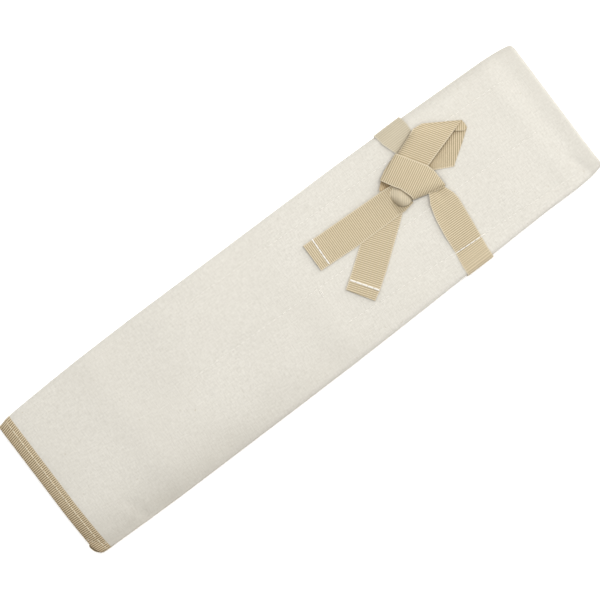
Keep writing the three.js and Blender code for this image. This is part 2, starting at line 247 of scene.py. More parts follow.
class Nodes:
    """Short hand for a node tree."""

    def __init__(self, name):
        self.material = bpy.data.materials.new(name)
        self.material.use_nodes = True
        self.tree = self.material.node_tree
        self.shader = self.tree.nodes["Principled BSDF"]

    def add(self, kind, **values):
        n = self.tree.nodes.new(kind)
        for k, v in values.items():
            setattr(n, k, v)
        return n

    def link(self, a, b):
        self.tree.links.new(a, b)

    def math(self, operation, a, b=None):
        n = self.add("ShaderNodeMath", operation=operation)
        for i, v in enumerate((a, b)):
            if v is None:
                continue
            if isinstance(v, (int, float)):
                n.inputs[i].default_value = v
            else:
                self.link(v, n.inputs[i])
        return n.outputs[0]

    def noise(self, vector, scale, detail=2.0, rough=0.5):
        n = self.add("ShaderNodeTexNoise")
        n.inputs["Scale"].default_value = scale
        n.inputs["Detail"].default_value = detail
        n.inputs["Roughness"].default_value = rough
        self.link(vector, n.inputs["Vector"])
        return n.outputs["Fac"]

    def stretch(self, vector, x, y):
        n = self.add("ShaderNodeMapping")
        n.inputs["Scale"].default_value = (x, y, 1.0)
        self.link(vector, n.inputs["Vector"])
        return n.outputs["Vector"]

    def mix(self, factor, a, b):
        n = self.add("ShaderNodeMix", data_type="RGBA")
        self.link(factor, n.inputs[0])
        for socket, v in ((n.inputs[6], a), (n.inputs[7], b)):
            if isinstance(v, tuple):
                socket.default_value = (*v, 1.0)
            else:
                self.link(v, socket)
        return n.outputs[2]

    def span(self, value, low, high, to_low=0.0, to_high=1.0):
        n = self.add("ShaderNodeMapRange")
        n.inputs["From Min"].default_value = low
        n.inputs["From Max"].default_value = high
        n.inputs["To Min"].default_value = to_low
        n.inputs["To Max"].default_value = to_high
        self.link(value, n.inputs["Value"])
        return n.outputs[0]

    def hollow_shade(self, reach, open_at, shut_at, amount):
        """Painted shade: 0 in the open, up to amount where the surface is closed in within reach."""
        n = self.add("ShaderNodeAmbientOcclusion", samples=16)
        n.inputs["Distance"].default_value = reach
        return self.span(n.outputs["AO"], open_at, shut_at, 0.0, amount)

    def bump(self, height, strength, distance):
        n = self.add("ShaderNodeBump")
        n.inputs["Strength"].default_value = strength
        n.inputs["Distance"].default_value = distance
        self.link(height, n.inputs["Height"])
        self.link(n.outputs[0], self.shader.inputs["Normal"])


def canvas_material():
    m = Nodes("canvas")
    uv = m.add("ShaderNodeUVMap", uv_map="UVMap").outputs[0]
    parts = m.add("ShaderNodeSeparateXYZ")
    m.link(uv, parts.inputs[0])
    # plain weave: warp and weft threads that pass over and under each other
    pitch = 2 * math.pi / 0.00150
    along = m.math("SINE", m.math("MULTIPLY", parts.outputs[0], pitch))
    across = m.math("SINE", m.math("MULTIPLY", parts.outputs[1], pitch))
    weave = m.math("MULTIPLY", along, across)
    warp = m.noise(m.stretch(uv, 170, 980), 1.0, 3)
    weft = m.noise(m.stretch(uv, 980, 170), 1.0, 3)
    slub = m.math("ADD", warp, weft)
    fuzz = m.noise(uv, 520, 4, 0.6)
    broad = m.noise(uv, 14, 3)
    height = m.math("ADD", m.math("MULTIPLY", weave, 0.30),
                    m.math("ADD", m.math("MULTIPLY", slub, 0.9), m.math("MULTIPLY", fuzz, 0.9)))
    m.bump(height, 0.42, 0.00022)
    tone = m.math("ADD", m.math("MULTIPLY", slub, 0.34), m.math("ADD", m.math("MULTIPLY", fuzz, 0.42),
                                                              m.math("MULTIPLY", weave, 0.05)))
    cloth = m.mix(m.span(tone, 0.36, 0.74), (0.628, 0.598, 0.528), (0.808, 0.779, 0.708))
    cloth = m.mix(m.span(broad, 0.35, 0.68, 0.0, 0.34), cloth, (0.706, 0.673, 0.598))
    # a few darker seed flecks, as in unbleached cotton
    seed = m.span(m.noise(m.stretch(uv, 300, 420), 1.0, 1), 0.745, 0.80, 0.0, 0.45)
    cloth = m.mix(seed, cloth, (0.50, 0.44, 0.33))
    # painted shade along the two folds, where the cloth rounds away from the light: the lower one by the bound end, the
    # upper one by the plain end, made patchy by noise
    patchy_shade = m.span(m.noise(uv, 45, 4), 0.2, 0.7, 0.8, 1.2)
    low = m.math("MULTIPLY", m.span(parts.outputs[1], LOWER_RUN - 0.040, LOWER_RUN + 0.010),
                 m.span(parts.outputs[1], LOWER_RUN + 0.034, LOWER_RUN + 0.014))
    low = m.math("MULTIPLY", m.math("POWER", low, 2.0), m.span(parts.outputs[0], 0.31, 0.02, 0.0, 0.46))
    high = m.math("MULTIPLY", m.span(parts.outputs[1], UPPER_RUN + 0.0165, UPPER_RUN + 0.0055),
                  m.span(parts.outputs[1], UPPER_RUN - 0.015, UPPER_RUN - 0.003))
    high = m.math("MULTIPLY", high, m.span(parts.outputs[0], 0.33, 0.42, 0.0, 0.22))
    cloth = m.mix(m.math("MULTIPLY", m.math("ADD", low, high), patchy_shade), cloth, (0.430, 0.395, 0.325))
    # painted shade on the turned-in plain end, where the cloth rounds away from the light
    cloth = m.mix(m.math("MULTIPLY", m.span(parts.outputs[0], 0.500, 0.512, 0.0, 0.17), patchy_shade), cloth, (0.430, 0.402, 0.345))
    # painted shade in hollows, where tape or folds close the cloth in
    cloth = m.mix(m.hollow_shade(0.010, 0.972, 0.70, 0.20), cloth, (0.25, 0.205, 0.155))
    m.link(cloth, m.shader.inputs["Base Color"])
    m.link(m.span(fuzz, 0.3, 0.7, 0.86, 0.97), m.shader.inputs["Roughness"])
    m.shader.inputs["Sheen Weight"].default_value = 0.12
    m.shader.inputs["Sheen Roughness"].default_value = 0.55
    m.shader.inputs["Specular IOR Level"].default_value = 0.18
    return m.material


def tape_material(name, shade, painted_binding_shade=0.0, lower_end_shade_at=None, ribs=1.0, selvedge=0.34, calm_from=None, occlusion_shade=(0.009, 0.965, 0.60, 0.44),
                  crease_shadow=None):
    """Grosgrain: UV x runs across the tape from 0 to 1, UV y along it in metres.
    painted_binding_shade: how much painted shade darkens the middle, where a binding is folded over its edge; it also
    deepens the rib valleys and darkens a band between the stitch and the inner edge. lower_end_shade_at: place along it
    where painted shade darkens the binding by the lower fold.
    ribs: how deep the ribs are. selvedge: how pale the two edges are. calm_from: place along it where the ribs flatten.
    occlusion_shade: reach, limits and amount of the painted shade in hollows. crease_shadow: a painted shadow along a
    crease, from and to across, from and to along, amount."""
    m = Nodes(name)
    tint = lambda *c: tuple(v * k for v, k in zip(c, shade))
    uv = m.add("ShaderNodeUVMap", uv_map="UVMap").outputs[0]
    parts = m.add("ShaderNodeSeparateXYZ")
    m.link(uv, parts.inputs[0])
    wave = m.math("COSINE", m.math("MULTIPLY", parts.outputs[1], 2 * math.pi / (RIB * MM)))
    rib = m.span(wave, -1, 1)
    if calm_from:
        calm = m.span(parts.outputs[1], calm_from, calm_from + 0.006, 0.0, 0.55)
        rib = m.math("ADD", m.math("MULTIPLY", rib, m.math("SUBTRACT", 1.0, calm)), m.math("MULTIPLY", calm, 0.6))
    yarn = m.math("SINE", m.math("MULTIPLY", parts.outputs[0], 2 * math.pi * 62))
    fuzz = m.noise(m.stretch(uv, 60, 1900), 1.0, 3, 0.6)
    rows = m.noise(m.stretch(uv, 3, 640), 1.0, 2)
    broad = m.noise(m.stretch(uv, 2.4, 40), 1.0, 3)
    height = m.math("ADD", m.math("MULTIPLY", rib, 1.0), m.math("ADD", m.math("MULTIPLY", yarn, 0.10),
                                                              m.math("MULTIPLY", fuzz, 0.45)))
    m.bump(height, 0.45 * ribs, 0.00026)
    # rib crests paler and valleys darker: partly the tape's own tone, partly painted shade in the grooves and painted
    # highlight on the crests, both stronger on a binding
    crest, valley = (0.740, 0.633, 0.452), (0.335, 0.268, 0.158)
    if painted_binding_shade:
        crest, valley = (0.950, 0.812, 0.572), (0.176, 0.136, 0.069)
    valley = tuple(a + (b - a) * ribs for a, b in zip(crest, valley))
    colour = m.mix(m.span(rib, 0.2 if painted_binding_shade else 0.05, 0.8 if painted_binding_shade else 0.85), tint(*valley), tint(*crest))
    colour = m.mix(m.span(fuzz, 0.25, 0.8, 0.0, 0.20), colour, tint(0.700, 0.600, 0.420))
    colour = m.mix(m.span(rows, 0.3, 0.75, 0.0, 0.22), colour, tint(0.520, 0.430, 0.280))
    colour = m.mix(m.span(broad, 0.35, 0.75, 0.0, 0.16), colour, tint(0.560, 0.466, 0.305))
    edge = m.math("ABSOLUTE", m.math("SUBTRACT", parts.outputs[0], 0.5))
    colour = m.mix(m.span(edge, 0.462, 0.492, 0.0, 0.55), colour, tint(0.680, 0.592, 0.425))
    # painted shade on a binding: darker at its folded-over middle, in a band between the stitch and its inner edge, and
    # by the lower fold
    if painted_binding_shade:
        inner_strip_shade = m.span(m.math("ABSOLUTE", m.math("SUBTRACT", edge, 0.39)), 0.05, 0.0, 0.0, 0.3 * painted_binding_shade)
        painted_edge_shade = m.math("ADD", m.span(edge, 0.0, 0.22, painted_binding_shade, 0.0), inner_strip_shade)
        if lower_end_shade_at:
            painted_edge_shade = m.math("ADD", painted_edge_shade, m.math("MULTIPLY", m.span(parts.outputs[1], lower_end_shade_at - 0.042, lower_end_shade_at + 0.002, 0.0, 0.28),
                                              m.span(parts.outputs[1], lower_end_shade_at + 0.034, lower_end_shade_at + 0.016)))
        shaded = m.add("ShaderNodeMix", data_type="RGBA", blend_type="MULTIPLY")
        m.link(painted_edge_shade, shaded.inputs[0])
        m.link(colour, shaded.inputs[6])
        shaded.inputs[7].default_value = (0.52, 0.47, 0.42, 1.0)
        colour = shaded.outputs[2]
    else:
        # painted shade in hollows, where other tape or the cloth closes the tape in
        colour = m.mix(m.hollow_shade(*occlusion_shade), colour, tint(0.235, 0.165, 0.078))
        # a painted shadow along a crease
        if crease_shadow:
            dark = m.math("MULTIPLY", m.span(parts.outputs[0], crease_shadow[0], crease_shadow[1], 1.0, 0.0),
                          m.span(parts.outputs[1], crease_shadow[2], crease_shadow[3], 0.0, crease_shadow[4]))
            colour = m.mix(dark, colour, tint(0.190, 0.140, 0.070))
        if selvedge:
            colour = m.mix(m.span(edge, 0.455, 0.490, 0.0, selvedge), colour, tint(0.830, 0.750, 0.600))
    m.link(colour, m.shader.inputs["Base Color"])
    m.link(m.span(rib, 0, 1, 0.82, 0.58), m.shader.inputs["Roughness"])
    m.shader.inputs["Sheen Weight"].default_value = 0.22
    m.shader.inputs["Sheen Roughness"].default_value = 0.4
    m.shader.inputs["Specular IOR Level"].default_value = 0.3
    return m.material


def thread_material(name, dark, light, crest):
    m = Nodes(name)
    uv = m.add("ShaderNodeUVMap", uv_map="UVMap").outputs[0]
    parts = m.add("ShaderNodeSeparateXYZ")
    m.link(uv, parts.inputs[0])
    # twisted plies
    turn = m.math("SINE", m.math("ADD", m.math("MULTIPLY", parts.outputs[1], 2 * math.pi / 0.0011),
                                 m.math("MULTIPLY", parts.outputs[0], 6.283)))
    fuzz = m.noise(m.stretch(uv, 3, 2600), 1.0, 2)
    m.bump(m.math("ADD", turn, fuzz), 0.35, 0.00008)
    colour = m.mix(m.span(turn, -1, 1), dark, light)
    colour = m.mix(m.span(fuzz, 0.3, 0.8, 0.0, 0.3), colour, crest)
    m.link(colour, m.shader.inputs["Base Color"])
    m.shader.inputs["Roughness"].default_value = 0.62
    m.shader.inputs["Sheen Weight"].default_value = 0.1
    return m.material


UPPER_RUN = (129.8 + math.pi * UP_R / 2) * MM          # places of the two folds along the cut canvas
LOWER_RUN = (130.0 + math.pi * UP_R + 118.0) * MM
CANVAS_LOOK, TAPE_LOOK = canvas_material(), tape_material("tape", (0.980, 0.970, 0.948), ribs=0.92)
ARM_LOOK = tape_material("tape_arm", (0.980, 0.970, 0.948), ribs=0.92, calm_from=0.058)
FLAT_LOOK = tape_material("tape_flat", (0.832, 0.862, 0.908), ribs=0.36)
# a darker, browner copy of the tape: painted shade for the fold that lies under the wrap
SHADED_FOLD_LOOK = tape_material("tape_fold_painted_shade", (0.900, 0.820, 0.720), ribs=0.6, selvedge=0.0, occlusion_shade=(0.009, 0.965, 0.60, 0.66))
# a paler copy of the tape: painted light on the lobe, with painted shade along the crease at its lower side
LIT_LOBE_LOOK = tape_material("tape_lobe_painted_light", (1.060, 1.080, 1.120), ribs=0.6, selvedge=0.0, occlusion_shade=(0.005, 0.90, 0.52, 0.80),
                          crease_shadow=(0.0, 0.40, -0.0870, -0.0785, 0.70))
# the tape with a painted shadow along the crease where the lobe stands over the long tail
TAIL_CREASE_SHADE_LOOK = tape_material("tape_tail_crease_shade", (0.980, 0.970, 0.948), ribs=0.92, crease_shadow=(0.42, 0.66, -0.1008, -0.1050, 0.34))
# a darker copy of the tape: painted shade on the bow loop, which lies partly in the shadow of its top layer
SHADED_LOOP_LOOK = tape_material("tape_loop_painted_shade", (0.958, 0.938, 0.904), ribs=0.92)
BINDING_SHADE = (0.93, 0.89, 0.85)
# the 0.5 is the painted shade at the binding's folded-over edge
BINDING_LOOK = tape_material("tape_binding", BINDING_SHADE, 0.5)
WHITE_THREAD = thread_material("thread", (0.770, 0.730, 0.650), (0.905, 0.875, 0.800), (0.930, 0.910, 0.850))
ROW_THREAD = thread_material("thread_cream", (0.770, 0.742, 0.670), (0.888, 0.860, 0.790), (0.905, 0.882, 0.815))
# the cream thread coloured darker: painted shade where the stitches sink into the binding
SHADED_BIND_THREAD = thread_material("thread_cream_painted_shade", (0.640, 0.560, 0.400), (0.780, 0.700, 0.530), (0.800, 0.730, 0.580))

# ------------------------------------------------------------ the canvas shell

# places along the length for the flat part of a panel, as a share of it
LONG = np.unique(np.r_[np.arange(-256.7, -240, 2.0), np.arange(-240, 108, 4.0), np.arange(108, 158, 2.0),
                       np.arange(158, 226, 4.0), np.arange(226, 253.9, 2.0), 253.85])
SHARE = (LONG - LONG[0]) / (LONG[-1] - LONG[0])
TURN = np.radians(np.linspace(0, 180, 11))[1:]


def tape_band(x, centre):
    """1 under the tie tape, where the canvas gives way to it."""
    d = np.abs(x - centre)
    return 1 - smooth(12.6, 16.0, d)


def shell(path, radius, leaf, press, rim, grow):
    """Outer and inner grid of a panel that is turned in at the plain end.
    path: (n, 4) of y, z and the inward direction; radius of the turned end, length of the leaf that it ends in,
    the give under the tape (depth and centre), the rise into the bindings, and grow(x, y) for the sewn rows."""
    y, z, ny, nz = path.T
    reach = HALF - radius
    xs = -256.7 + (reach[None, :] + 256.7) * SHARE[:, None]
    depth = press[0][None, :] * tape_band(xs, press[1][None, :])
    depth = depth + rim(xs, np.broadcast_to(y, xs.shape)) + grow(xs, np.broadcast_to(y, xs.shape))
    flat = [(xs, depth, xs, depth + CANVAS)]
    inner = np.maximum(radius - CANVAS, 0.04)
    s, c = np.sin(TURN)[:, None], np.cos(TURN)[:, None]
    flat.append((reach + radius * s, radius * (1 - c), reach + inner * s, CANVAS + inner * (1 - c)))
    back = np.linspace(0, 1, 6)[1:, None]
    flat.append((reach - back * leaf, np.broadcast_to(2 * radius, (5, len(y))),
                 reach - back * leaf, np.broadcast_to(2 * radius - np.minimum(CANVAS, radius), (5, len(y)))))
    xp, dp, xq, dq = (np.concatenate([f[k] for f in flat]) for k in range(4))
    p = np.stack([xp, y + ny * dp, z + nz * dp], -1)
    q = np.stack([xq, y + ny * dq, z + nz * dq], -1)
    along = np.concatenate([xs - xs[:1], (xs[-1] - xs[0]) + radius * TURN[:, None],
                            (xs[-1] - xs[0]) + radius * math.pi + back * leaf])
    run = run_length(path[:, :2])
    uv = np.stack([along * MM, np.broadcast_to(run, along.shape) * MM], -1)
    return p, q, uv


# base, upper fold and cover
base_y = np.r_[np.arange(-68.8, -46, 1.5), np.arange(-46, UP_Y, 3.0)]
turn_up = np.radians(np.linspace(-90, 90, 25))
cover_y = np.r_[np.arange(UP_Y, JOIN_Y, -0.9)[1:], JOIN_Y]
outer_path = np.concatenate([
    np.stack([base_y, 0 * base_y, 0 * base_y, 0 * base_y + 1], -1),
    np.stack([UP_Y + UP_R * np.cos(turn_up), UP_Z + UP_R * np.sin(turn_up), -np.cos(turn_up), -np.sin(turn_up)], -1),
    np.stack([cover_y, 0 * cover_y + TOP, 0 * cover_y, 0 * cover_y - 1], -1)])
in_base = np.r_[np.ones(len(base_y)), smooth(40, -60, np.degrees(turn_up)), np.zeros(len(cover_y))]
outer_radius = np.r_[0.5 + 3.05 * smooth(-62, -50, base_y), np.linspace(3.55, 3.35, len(turn_up)),
                     np.full(len(cover_y), 3.35)]
outer_share = np.r_[np.zeros(len(base_y)), np.linspace(0, 1, len(turn_up)), np.ones(len(cover_y))]
press_depth = np.r_[np.full(len(base_y), 0.72), 0.72 - 0.62 * smooth(-90, 90, np.degrees(turn_up)), np.zeros(len(cover_y))]
press_place = np.r_[130 + 8 * (base_y + 69.3) / 130.3, np.full(len(turn_up) + len(cover_y), 138.0)]


def base_rim(x, y):
    return 0.52 * in_base[None, :] * np.maximum(smooth(-242.5, -245.5, x), smooth(-55.6, -57.6, y))


def base_rows(x, y):
    h = np.zeros(x.shape)
    for r in BASE_ROWS:
        h += 0.5 * np.exp(-((y - r) / 2.2) ** 2) * smooth(-112, -100, x) * smooth(244, 232, x)
    return h * in_base[None, :]


p, q, uv = shell(outer_path, outer_radius, np.full(len(outer_radius), 0.6), (press_depth, press_place), base_rim, base_rows)
wallet_shell = grid_sheet("wallet_shell", laid(p), laid(q), uv, CANVAS_LOOK)
weights(wallet_shell)
SHELL_FLAT = (run_length(outer_path[:, :2])[-1], 2 * HALF + 10)

# lower fold and flap
fall_y = np.r_[np.arange(JOIN_Y, LO_Y, -1.3), LO_Y]
turn_low = np.radians(np.linspace(90, 270, 19))[1:]
flap_y = np.r_[np.arange(LO_Y, -7.6, 2.6)[1:], -7.5]
lower_path = np.concatenate([
    np.stack([fall_y, 0 * fall_y + TOP, 0 * fall_y, 0 * fall_y - 1], -1),
    np.stack([LO_Y + LO_R * np.cos(turn_low), LO_Z + LO_R * np.sin(turn_low), -np.cos(turn_low), -np.sin(turn_low)], -1),
    np.stack([flap_y, 0 * flap_y + FLAP, 0 * flap_y, 0 * flap_y + 1], -1)])
lower_radius = np.r_[3.35 - 2.1 * smooth(JOIN_Y, LO_Y, fall_y), np.linspace(1.25, 0.98, len(turn_low)),
                     np.full(len(flap_y), 0.98)]
lower_share = np.r_[np.zeros(len(fall_y)), np.linspace(0, 1, len(turn_low) + 1)[1:], np.ones(len(flap_y))]
hem_leaf = np.r_[np.full(len(fall_y), 0.6), np.linspace(0.6, 14, len(turn_low)), np.full(len(flap_y), 15.0)]
none = np.zeros(len(lower_path))
p, q, uv = shell(lower_path, lower_radius, hem_leaf, (none, none), lambda x, y: 0 * x, lambda x, y: 0 * x)
uv[..., 1] += SHELL_FLAT[0] * MM
wallet_flap = grid_sheet("wallet_flap", laid(p), laid(q), uv, CANVAS_LOOK)
weights(wallet_flap)

# -------------------------------------------------------------------- pockets

def arch(d, width):
    """1 on a sewn row, and 0 where the pocket stands clear of it."""
    t = np.clip(d / width, 0, 1)
    return 1 - np.sqrt(np.maximum(0, 1 - (1 - t) ** 2))


POCKET_X = np.r_[np.arange(-108.1, -96, 1.5), np.arange(-96, 226, 6.0), np.arange(226, 252, 3.0), 253.2]


def sewn_base(x, y):
    d = np.min([np.abs(y - r) for r in BASE_ROWS], axis=0)
    return arch(d, 15) * smooth(250, 234, x)


def sewn_cover(x, y, rows):
    d = np.min([to_row(x, y, r) for r in rows], axis=0)
    return arch(d, 15) * smooth(251, 236, x)


deep_y0 = np.r_[np.arange(-68.6, -58, 2.0), np.arange(-57, -50, 0.8), np.arange(-50, UP_Y, 1.25)]
deep_turn = np.radians(np.linspace(-90, 90, 13))
deep_y1 = np.r_[np.arange(UP_Y, -3.0, -1.25)[1:], -3.0]
rise = smooth(-56.6, -51.0, deep_y0)
p_z = np.r_[2.4 + 4.7 * rise, 8.9 + 1.8 * np.sin(deep_turn), np.full(len(deep_y1), 10.7)]
q_z = np.r_[1.5 + 4.7 * rise, 8.9 + 2.7 * np.sin(deep_turn), np.full(len(deep_y1), 11.6)]
p_y = np.r_[deep_y0, UP_Y + 1.8 * np.cos(deep_turn), deep_y1]
q_y = np.r_[deep_y0, UP_Y + 2.7 * np.cos(deep_turn), deep_y1]
deep_share = np.r_[np.zeros(len(deep_y0)), np.linspace(0, 1, len(deep_turn)), np.ones(len(deep_y1))]
part_base = np.r_[np.ones(len(deep_y0)), np.zeros(len(deep_turn) + len(deep_y1))]
part_cover = np.r_[np.zeros(len(deep_y0) + len(deep_turn)), np.ones(len(deep_y1))]


def pocket_grid(xs, y, z):
    shape = (len(xs), len(y))
    return np.stack([np.broadcast_to(xs[:, None], shape), np.broadcast_to(y, shape), np.broadcast_to(z, shape)], -1)


def pinch_deep(g):
    """Draws the deep pocket layer down on the sewn rows of the base, and up on those of the cover."""
    g = taper(g)
    x, y = g[..., 0], g[..., 1]
    clear = smooth(-51, -40, y)
    g[..., 2] -= 5.0 * sewn_base(x, y) * part_base * clear
    g[..., 2] += 4.75 * sewn_cover(x, y, (ROW_1, ROW_2)) * part_cover
    return settle(g)


p = pocket_grid(POCKET_X, p_y, p_z)
uv = np.stack([p[..., 0] * MM, np.broadcast_to(run_length(np.stack([q_y, q_z], -1)), p.shape[:2]) * MM], -1)
pocket_deep = grid_sheet("pocket_layer_deep", pinch_deep(p), pinch_deep(pocket_grid(POCKET_X, q_y, q_z)), uv, CANVAS_LOOK)
weights(pocket_deep)

SHALLOW_X = np.r_[np.arange(13.0, 25, 1.5), np.arange(25, 226, 6.0), np.arange(226, 252, 3.0), 253.2]
shallow_y = np.arange(-61.0, -3.1, 1.2)


def pinch_shallow(g):
    g = taper(g)
    x, y = g[..., 0], g[..., 1]
    edge = 1 - smooth(-60.8 * 0.94, -56.0 * 0.94, y)
    g[..., 2] += 4.75 * np.maximum(sewn_cover(x, y, (ROW_2, ROW_3)), edge)
    return settle(g)


p = pocket_grid(SHALLOW_X, shallow_y, np.full(len(shallow_y), 10.7))
uv = np.stack([p[..., 0] * MM, p[..., 1] * MM], -1)
pocket_shallow = grid_sheet("pocket_layer_shallow", pinch_shallow(p),
                            pinch_shallow(p + np.array([0, 0, CANVAS])), uv, CANVAS_LOOK)
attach(pocket_shallow, "cover_panel")

# ------------------------------------------------------------------- bindings

def folded_tape(reach=11.4, leaf=0.42, half=0.45):
    """Section of a binding folded over an edge: (in from the edge, out of the face, which face, place across the tape)."""
    r = half + 0.08
    turn = np.radians(np.linspace(90, -90, 9))
    e = np.r_[np.linspace(reach, 0.5, 15), 0.5 - (r + leaf) * np.cos(turn)[1:-1], np.linspace(0.5, reach, 15)]
    n = np.r_[np.full(15, r + leaf), (r + leaf) * np.sin(turn)[1:-1], np.full(15, -r - leaf)]
    ei = np.r_[np.linspace(reach, 0.5, 15), 0.5 - r * np.cos(turn)[1:-1], np.linspace(0.5, reach, 15)]
    ni = np.r_[np.full(15, r), r * np.sin(turn)[1:-1], np.full(15, -r)]
    across = run_length(np.stack([e, n], -1))
    # the tape stands up a little along its stitch line, and its edge lies down on the cloth
    dip = (0.26 * smooth(7.8, 10.6, e) - 0.16 * np.exp(-((e - 7.3) / 1.3) ** 2) + 0.12 * np.exp(-((e - 3.6) / 2.2) ** 2)) * np.sign(n)
    return e - 0.45, n - dip, ei - 0.45, ni - dip * 0.4, across / across[-1]


def binding(name, edge, inward, out, ribs, shape, lengths=None, look=BINDING_LOOK, reach=11.4):
    """A binding along an edge: edge points, directions into the panel and out of its face, all (n, 3)."""
    e, n, ei, ni, across = folded_tape(reach)
    run = run_length(edge) if lengths is None else lengths
    rib = 0.13 * ribs * (np.cos(2 * math.pi * run / RIB) - 1)
    nn = n[None, :] + rib[:, None] * np.sign(n)[None, :] * smooth(0.2, 0.6, np.abs(n))[None, :]
    ee = e[None, :] - rib[:, None] * (1 - smooth(0.2, 0.9, np.abs(n)))[None, :] * (e < 0.6)
    p = edge[:, None, :] + ee[..., None] * inward[:, None, :] + nn[..., None] * out[:, None, :]
    q = edge[:, None, :] + ei[None, :, None] * inward[:, None, :] + ni[None, :, None] * out[:, None, :]
    uv = np.stack([np.broadcast_to(across, p.shape[:2]), np.broadcast_to(run[:, None] * MM, p.shape[:2])], -1)
    return grid_sheet(name, shape(p), shape(q), uv, look, 55)


def fine_path(path, share, step, x0=-256.7):
    """The path again in steps that are even once the cloth is laid, with its shares, its length and a way to read values on it."""
    n = np.arange(len(path))
    t = np.linspace(0, len(path) - 1, 6000)
    dense = np.stack([np.full(len(t), x0), np.interp(t, n, path[:, 0]), np.interp(t, n, path[:, 1])], -1)
    run = run_length(laid(dense))
    s = np.r_[np.arange(0, run[-1] - 0.05, step), run[-1]]
    at = lambda v: np.interp(np.interp(s, run, t), n, v)
    cols = [at(path[:, k]) for k in range(4)]
    d = np.hypot(cols[2], cols[3])
    return np.stack([cols[0], cols[1], cols[2] / d, cols[3] / d], -1), at(share), s, at


def end_frame(path, offset):
    y, z, ny, nz = path.T
    edge = np.stack([np.full(len(y), -256.7), y + ny * (0.45 + offset), z + nz * (0.45 + offset)], -1)
    out = np.stack([0 * y, -ny, -nz], -1)
    inward = np.broadcast_to(np.array([1.0, 0, 0]), edge.shape)
    return edge, inward, out


keep = outer_path[:, 0] > -56.0
keep[len(base_y):] = True
path, share, run, at = fine_path(outer_path[keep], outer_share[keep], RIB / 4)
rimmed = at(0.52 * in_base[keep])
BOUND_RUN = run[-1]
# painted shade also darkens the bound end's binding by the lower fold
BOUND_LOOK = tape_material("tape_bound_end", BINDING_SHADE, 0.5, BOUND_RUN * MM)
bound_end = binding("bound_end_tape", *end_frame(path, rimmed), 1.0, laid, run, BOUND_LOOK, 11.8)
weights(bound_end)

keep = np.ones(len(lower_path), bool)
keep[-6:] = False
path, share, run, at = fine_path(lower_path[keep], lower_share[keep], RIB / 4)
bound_flap = binding("bound_end_tape_flap", *end_frame(path, 0.0), 1.0, laid, run + BOUND_RUN, BOUND_LOOK, 11.8)
weights(bound_flap)


def straight(points, step):
    points = np.asarray(points, float)
    run = run_length(points)
    s = np.arange(0, run[-1] + 1e-6, step)
    return np.stack([np.interp(s, run, points[:, k]) for k in range(3)], -1)


# free long edge of the base: canvas and pocket edge in one binding
def folded_thick(edge, inward, out):
    return edge, np.broadcast_to(np.array(inward, float), edge.shape), np.broadcast_to(np.array(out, float), edge.shape)


def wide_binding(name, edge, inward, out, half, shape):
    e, n, ei, ni, across = folded_tape(half=half)
    run = run_length(edge)
    rib = 0.06 * (np.cos(2 * math.pi * run / RIB) - 1)
    nn = n[None, :] + rib[:, None] * np.sign(n)[None, :]
    p = edge[:, None, :] + e[None, :, None] * inward[:, None, :] + nn[..., None] * out[:, None, :]
    q = edge[:, None, :] + ei[None, :, None] * inward[:, None, :] + ni[None, :, None] * out[:, None, :]
    uv = np.stack([np.broadcast_to(across, p.shape[:2]), np.broadcast_to(run[:, None] * MM, p.shape[:2])], -1)
    return grid_sheet(name, shape(p), shape(q), uv, BINDING_LOOK, 55)


side_edge = straight([(-257.9, -68.4, 1.46), (HALF - 0.4, -68.4, 1.46)], RIB / 2)


def base_side_shape(g):
    """The base's edge shows a little past the cover at the bound end."""
    x0 = g[..., 0].copy()
    g = laid(g)
    push = smooth(-240, -256, x0)
    round_off = np.clip((-61.5 - g[..., 1]) / 8.5, 0, 1.2) ** 2
    g[..., 0] -= push * (1.9 - 5.6 * round_off) * smooth(-54.5, -57.5, g[..., 1])
    g[..., 1] -= 0.9 * push
    under = tape_band(x0, 130.2) * smooth(-60, -64, g[..., 1]) * (g[..., 2] < 1.0)
    g[..., 2] = np.maximum(g[..., 2], 0.02) + 0.62 * under
    return g


base_side = wide_binding("base_side_tape", *folded_thick(side_edge, (0, 1, 0), (0, 0, -1)), 0.95, base_side_shape)
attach(base_side, "base_panel")

flap_edge = straight([(-257.2, -7.9, FLAP + 0.45), (240.0, -7.9, FLAP + 0.45)], RIB / 2)
flap_side = binding("flap_side_tape", *folded_thick(flap_edge, (0, -1, 0), (0, 0, 1)), 0.8, laid)
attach(flap_side, "tuck_flap")

# pocket mouths
start = int(np.argmax(deep_y0 > -50.0))
mouth_y, mouth_z = (p_y + q_y)[start:] / 2, (p_z + q_z)[start:] / 2
mouth_path = np.stack([mouth_y, mouth_z], -1)
tangent = np.gradient(mouth_path, axis=0)
tangent /= np.linalg.norm(tangent, axis=1)[:, None]
full = np.stack([mouth_y, mouth_z, -tangent[:, 1], tangent[:, 0]], -1)
path, share, run, at = fine_path(full, deep_share[start:], RIB / 2, -108.1)
kind = at(part_base[start:])
kind_cover = at(part_cover[start:])


def pinch_mouth(g):
    g = taper(g)
    x, y = g[..., 0], g[..., 1]
    clear = smooth(-51, -40, y)
    g[..., 2] -= 5.0 * sewn_base(x, y) * kind[:, None] * clear
    g[..., 2] += 4.75 * sewn_cover(x, y, (ROW_1, ROW_2)) * kind_cover[:, None] * smooth(-108, -82, x)
    return settle(g)


edge = np.stack([np.full(len(path), -108.1), path[:, 0], path[:, 1]], -1)
mouth_deep = binding("pocket_mouth_tape_deep", edge, np.broadcast_to(np.array([1.0, 0, 0]), edge.shape),
                     np.stack([0 * path[:, 0], path[:, 2], path[:, 3]], -1), 0.8, pinch_mouth)
weights(mouth_deep)

edge = straight([(13.0, -60.6, 11.15), (13.0, -3.4, 11.15)], RIB / 2)
mouth_shallow = binding("pocket_mouth_tape_shallow", *folded_thick(edge, (1, 0, 0), (0, 0, -1)), 0.8, pinch_shallow)
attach(mouth_shallow, "cover_panel")

# -------------------------------------------------------------------- stitches

